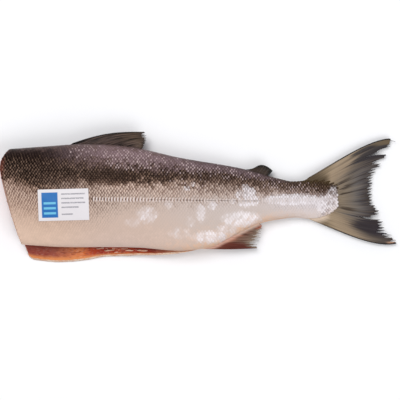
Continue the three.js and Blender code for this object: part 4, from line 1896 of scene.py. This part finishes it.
@dataclass(frozen=True)
class TailFan(Fan):
    """The forked tail fin with branching rays, torn in two places."""

    root_x: float = 372.0
    root_reach: float = 34.0
    root_y: Pair = (20.5, -18.0)
    body_end: float = 404.0
    tip_y: Pair = (77.4, -54.0)
    trailing: Profile = Profile(
        ((0, 489), (0.08, 486), (0.17, 482), (0.28, 470), (0.38, 463), (0.5, 462), (0.62, 466), (0.72, 473),
         (0.82, 477), (0.92, 488), (1, 496))
    )
    bows: Pair = (7.3, -8.6)
    tip_z: float = 5.5
    finger: float = 0.162
    tears: tuple[tuple[float, float, float], ...] = (
        (0.12, 0.035, 0.26), (0.745, 0.02, 0.28), (0.208, 0.02, 0.14), (0.3, 0.014, 0.06), (0.93, 0.01, 0.06),
        (0.972, 0.012, 0.05),
    )
    strays: tuple[tuple, ...] = (
        ((480.0, 76.4), (495.0, 73.8), 0.06),
        ((478.0, 72.0), (488.5, 67.6), 0.08),
        ((478.0, -42.0), (490.5, -43.6), 0.88),
        ((484.0, -49.0), (495.8, -50.2), 0.97),
        ((484.0, -52.0), (495.2, -54.6), 0.98),
    )
    along_stray: int = 10

    def off(self, points: Array) -> Array:
        """How far points lie outside the body's outline or behind its end, in millimetres."""
        x, y, form = points[..., 0], points[..., 1], self.shop.form
        return np.maximum(np.where(y > 0, y - form.back(x), form.belly(x) - y), x - self.body_end)

    def ends(self, a: Array) -> tuple[Array, ...]:
        """From round the end of the body to the forked trailing edge."""
        x = self.root_x + self.root_reach * np.sin(np.pi * a)
        return x, between(*self.root_y, a), self.trailing(a), between(*self.tip_y, a)

    def bow(self, a: Array, r: Array) -> Array:
        """The lobes curve outwards."""
        return between(*self.bows, a) * np.abs(np.sin(np.pi * r**1.8)) ** 0.7

    def lift(self, x: Array, y: Array, a: Array, r: Array) -> Array:
        """From the body's middle height down to just over the table, with a slack wave."""
        return between(self.shop.form.median(x), self.tip_z, r) + 1.2 * np.sin(7 * a + 2 * r) * r

    def wear(self, a: Array) -> Array:
        """The torn-off finger of the upper lobe keeps its round end."""
        return super().wear(a) * (1 - 0.85 * ease(0.05 - np.abs(a - self.finger), 0.0, 0.02))

    def splits(self, a: Array) -> Array:
        """Two long tears and a few short ones."""
        return sum(depth * np.maximum(0.0, 1 - np.abs(a - at) / half) for at, half, depth in self.tears)

    def branches(self, ray: int) -> list[tuple[float, float, float, float]]:
        """Each ray forks twice on its way out, apart from the outermost ones.

        Args:
            ray: The ray's number.

        Returns:
            For each run its start and end across, and its first and last share of the length.
        """
        if ray in (0, self.rays):
            return [(float(ray), float(ray), 0.1, 1.0)]
        runs = [(float(ray), float(ray), 0.12, 0.56)]
        for first in (-0.2, 0.2):
            runs.append((float(ray), ray + first, 0.54, 0.78))
            for second in (-0.11, 0.11):
                runs.append((ray + first, ray + first + second, 0.77, 1.0))
        return runs

    def paths(self) -> list[dict]:
        """The rays, and a few loose ends that stick out of the lobe tips.

        Returns:
            For each path its points, its thickness and what the finish reads.
        """
        made = super().paths()
        span = np.linspace(0, 1, self.along_stray)
        for turn, (start, end, across) in enumerate(self.strays):
            x, y = between(start[0], end[0], span), between(start[1], end[1], span)
            y = y + 0.5 * np.sin(3 * span + turn) * span
            z = self.tip_z + 0.4 * np.sin(2 * span + turn)
            thick = between(0.5, 0.16, span) * (1.5 if across > 0.96 else 1.0)
            points, a = np.stack([x, y, z], axis=1), np.full(self.along_stray, across)
            made.append(self.path(points, thick, between(0.9, 1.0, span), a))
        return made


@dataclass(frozen=True)
class BellyShreds:
    """Pale shreds of membrane on the lower flap, each by its start, end, inset and thickness."""

    shop: Workshop
    shreds: tuple[tuple[float, ...], ...] = (
        (155, 165, 6.5, 0.9), (170, 183, 6.0, 1.0), (150, 158, 9.0, 0.5), (118, 128, 10.5, 0.6),
        (128, 141, 7.5, 0.8),
    )
    steps: int = 12
    gap: float = 0.55
    sides: int = 8

    def build(self) -> None:
        """Build and dress the shreds."""
        form, steps = self.shop.form, self.steps
        taper = np.sin(np.linspace(0.25, math.pi - 0.25, steps)) ** 0.6
        paths = []
        for turn, (first, last, inset, thick) in enumerate(self.shreds):
            x = np.linspace(first, last, steps)
            wave = 0.3 * np.sin(np.linspace(0, 5, steps) + turn)
            share = np.clip(inset / np.maximum(form.cavity_depth(x), 1.0), 0, 1)
            wall = form.cavity(x, np.arcsin(share ** (1 / form.cavity_fullness)) / np.pi)
            y = form.low_belly(x) + inset + wave
            points = np.stack([x, y, wall[:, 2] + self.gap], axis=1)
            paths.append({"points": points, "thickness": thick * taper * MM})
        membrane = TintedFinish("membrane", smooth=0.15, dull=0.4, first=srgb(238, 208, 184),
                                second=srgb(222, 168, 138), stain=srgb(204, 110, 78), cloud_scale=320.0)
        self.shop.tubes("belly_shreds", paths, membrane, self.sides)


@dataclass(frozen=True)
class Label:
    """The paper label that clings to the upper flank."""

    shop: Workshop
    width: float = 63.0
    depth: float = 39.0
    centre: Pair = (80.0, -5.6)
    turn: float = math.radians(1.5)
    gap: float = 0.62
    thickness: float = 0.22
    curl: float = 0.9
    slack: float = 0.1
    steps: tuple[int, int] = (61, 41)
    crease: float = 50.0

    def build(self) -> None:
        """Build and dress the label."""
        across, up = np.meshgrid(*[np.linspace(0, 1, count) for count in self.steps], indexing="ij")
        left, rise = (across - 0.5) * self.width, (up - 0.5) * self.depth
        x = self.centre[0] + left * math.cos(self.turn) - rise * math.sin(self.turn)
        y = self.centre[1] + left * math.sin(self.turn) + rise * math.cos(self.turn)
        corner = ease(np.hypot(across - 1, up - 1), 0.22, 0.0) + 0.7 * ease(np.hypot(across, up), 0.18, 0.0)
        z = self.shop.form.top_height(x, y) + self.gap + self.curl * corner
        z += self.slack * ripple(across * 2.2, up * 2.0, 0.4)
        foot = np.stack([x, y, z], axis=-1)
        points, faces = slab(foot + np.array([0, 0, self.thickness]), foot)
        mesh = new_mesh("label", self.shop.placing.metres(points), faces)
        put_numbers(mesh, {"across": np.tile(across.ravel(), 2), "up": np.tile(up.ravel(), 2)})
        mesh.set_sharp_from_angle(angle=math.radians(self.crease))
        attach(new_object("paper_label", mesh, PaperFinish().make()), "label")


# Fins of this fish


WEDGE_STAINS = (
    Stain(srgb(86, 30, 20), 0.07, 0.22, 0.62, 0.42),
    Stain(srgb(160, 82, 57), 0.95, 0.2, 0.84, 0.24),
    Stain(srgb(104, 44, 28), 0.9, 0.07, 0.8, 0.1),
    Stain(srgb(126, 114, 100), 0.2, 0.3, 1.04, 0.16, 0.8),
)
LOBE_STAINS = (
    Stain(srgb(48, 44, 48), 0.14, 0.05, 0.92, 0.26),
    Stain(srgb(44, 38, 43), 0.84, 0.1, 0.92, 0.36),
    Stain(srgb(44, 41, 44), 0.043, 0.028, 0.71, 0.17),
    Stain(srgb(50, 46, 48), 0.085, 0.03, 0.88, 0.26),
    Stain(srgb(116, 99, 74), 0.015, 0.04, 0.96, 0.2, 0.6),
    Stain(srgb(176, 138, 114), 0.99, 0.022, 1.0, 0.1),
)
DORSAL_SKIN = FinFinish(
    "dorsal_skin",
    run=tones((0.0, 52, 40, 39), (0.5, 50, 38, 33), (0.85, 70, 55, 36), (1.0, 42, 34, 24)),
    line=srgb(12, 9, 8), line_share=0.5, pale=srgb(116, 96, 88), pale_share=0.52, dark_share=0.8,
    edge_width=0.05, fineness_across=1.4, specular=0.08,
)
ANAL_SKIN = FinFinish(
    "anal_skin",
    run=tones((0.0, 218, 164, 138), (0.36, 192, 124, 98), (0.54, 102, 58, 43), (0.75, 80, 50, 38),
              (0.9, 104, 88, 74), (1.0, 146, 134, 118)),
    line=srgb(58, 26, 18), line_share=0.6, pale=srgb(186, 158, 138), pale_share=0.4, dark_share=0.4,
    edge=srgb(78, 34, 26), edge_width=0.03, specular=0.1, stains=WEDGE_STAINS,
    root_tints=(srgb(226, 184, 166), srgb(228, 204, 188)), root_width=6.2,
)
ADIPOSE_SKIN = FinFinish(
    "adipose_skin",
    run=tones((0.0, 36, 28, 26), (0.5, 60, 48, 41), (0.72, 46, 36, 30), (0.86, 12, 10, 10), (1.0, 6, 5, 5)),
    line=srgb(30, 24, 22), line_share=0.2, pale=srgb(88, 74, 62), pale_share=0.25,
    edge=srgb(8, 7, 8), edge_width=0.12, fineness_across=2.0, specular=0.08,
)
TAIL_SKIN = FinFinish(
    "tail_skin",
    run=tones((0.0, 78, 64, 48), (0.16, 122, 105, 82), (0.3, 158, 138, 114), (0.52, 140, 122, 102),
              (0.66, 94, 83, 74), (0.78, 52, 46, 47), (0.9, 44, 38, 44), (1.0, 30, 26, 34)),
    inner_run=tones((0.0, 78, 64, 48), (0.3, 130, 115, 97), (0.5, 108, 97, 86), (0.65, 94, 89, 86),
                    (0.78, 66, 64, 69), (0.88, 36, 36, 47), (1.0, 22, 22, 34)),
    line=srgb(46, 35, 30), line_share=0.4, pale=srgb(166, 147, 124), pale_share=0.24,
    edge=srgb(20, 18, 22), edge_width=0.018, fineness_across=8.0, specular=0.1, stains=LOBE_STAINS,
    root_tints=(srgb(84, 70, 52), srgb(214, 194, 174)), root_width=11.0, stroke_share=0.95, lobe_shift=1.1,
)


def ray_skin(skin: FinFinish) -> FinFinish:
    """The finish of a fin's rays, shaded and without the strokes of the skin between them."""
    plain = {"line_share": 0.3, "dark_share": 0.0, "stroke_share": 0.0, "fineness_across": 3.0, "shade": 0.5}
    return replace(skin, name=skin.name.replace("skin", "ray"), **plain)


def fins(shop: Workshop) -> list[Fan]:
    """The four fins with their sizes and finishes.

    Args:
        shop: What the fins are built with.

    Returns:
        The fins, ready to build.
    """
    return [
        RidgeFan(shop, "dorsal", 12, 2.6, 0.6, 0.035, DORSAL_SKIN, ray_skin(DORSAL_SKIN), notch=0.04, teeth=3,
                 per_ray=15),
        RidgeFan(shop, "adipose", 8, 3.6, 1.2, 0.0, ADIPOSE_SKIN, notch=0.0, front=302.0, rear=330.0,
                 tips=((316, 39.2), (326, 50.5), (340, 37)), rise=0.0, leaning=0.0, swing=1.0),
        RidgeFan(shop, "anal", 13, 2.8, 0.55, 0.12, ANAL_SKIN, ray_skin(ANAL_SKIN), notch=0.12, per_ray=16,
                 front=248.0, rear=316.0, tips=((320, -60.3), (329, -45), (326, -31)), below=True, rise=-1.0,
                 leaning=0.12, overhang=0.8, swing=4.0, ray_root=0.7, ray_tip=0.22),
        TailFan(shop, "tail", 19, 4.2, 0.5, 0.05, TAIL_SKIN, ray_skin(TAIL_SKIN), notch=0.11, per_ray=18,
                ray_root=1.0, ray_tip=0.24, overhang=5.0),
    ]


# Stage


@dataclass(frozen=True)
class Studio:
    """A pale floor, soft light from above and a camera straight over the fish, in metres."""

    centre: Pair = (0.00083, -0.00335)
    view_width: float = 0.5
    view_height: float = 0.025
    distance: float = 2.5
    far_clip: float = 20.0
    sensor: float = 36.0
    lamps: tuple[tuple, ...] = (("key", (-0.7, 1.0, 3.0), 1.6, 57.0), ("fill", (1.2, -1.4, 2.6), 2.0, 34.2))
    sky: float = 0.39
    sky_tint: Colour = (0.96, 0.97, 1.0, 1.0)
    table_half: float = 2.0
    table_drop: float = 0.0002
    table_depth: float = 0.02
    table_tints: tuple[Colour, Colour] = (srgb(250, 250, 251), srgb(246, 246, 248))

    def build(self) -> None:
        """Set up floor, light, sky and camera."""
        self._floor()
        self._lights()
        world = bpy.data.worlds.new("soft_room")
        world.use_nodes = True
        sky = world.node_tree.nodes["Background"]
        sky.inputs["Color"].default_value = self.sky_tint
        sky.inputs["Strength"].default_value = self.sky
        bpy.context.scene.world = world
        bpy.context.scene.view_settings.view_transform = "Standard"
        self._camera()

    def _floor(self) -> None:
        """A wide pale table top with a faint mottle."""
        steps = np.linspace(-self.table_half, self.table_half, 9)
        x, y = np.meshgrid(steps, steps, indexing="ij")
        top = np.stack([x, y, 0 * x - self.table_drop], axis=-1)
        points, faces = slab(top, top - np.array([0, 0, self.table_depth]))
        material, net, shader = new_material("pale_table")
        cloud = net.noise(net.place(), 6.0, 3.0)
        net.join(shader, {
            "Base Color": net.mix(cloud, *self.table_tints),
            "Roughness": net.plus(0.6, net.times(cloud, 0.2)),
            "Specular IOR Level": 0.1,
        })
        new_object("table", new_mesh("table", points, faces), material)

    def _lights(self) -> None:
        """Large square soft lamps that look at the fish."""
        for name, place, size, power in self.lamps:
            light = bpy.data.lights.new(name, "AREA")
            light.size = size
            light.energy = power
            lamp = bpy.data.objects.new(name, light)
            lamp.location = place
            lamp.rotation_euler = (-Vector(place)).to_track_quat("-Z", "Y").to_euler()
            bpy.context.scene.collection.objects.link(lamp)

    def _camera(self) -> None:
        """A long lens that looks straight down with the back of the fish at the top."""
        lens = bpy.data.cameras.new("camera")
        lens.sensor_width = self.sensor
        lens.lens = self.sensor * self.distance / self.view_width
        lens.clip_end = self.far_clip
        camera = bpy.data.objects.new("camera", lens)
        camera.location = (*self.centre, self.view_height + self.distance)
        bpy.context.scene.collection.objects.link(camera)
        bpy.context.scene.camera = camera


def main() -> None:
    """Build the whole scene in order and note its size."""
    logging.basicConfig(level=logging.INFO, format="%(name)s %(message)s")
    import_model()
    form = FishForm()
    shop = Workshop(form, Placing.from_frame(form), Growth())
    Effects().build()
    Studio().build()
    for assembly in (Body(shop), ScaleCoat(shop), *fins(shop), BellyShreds(shop), Label(shop)):
        LOG.info("building %s", type(assembly).__name__)
        assembly.build()


if __name__ == "__main__":
    main()
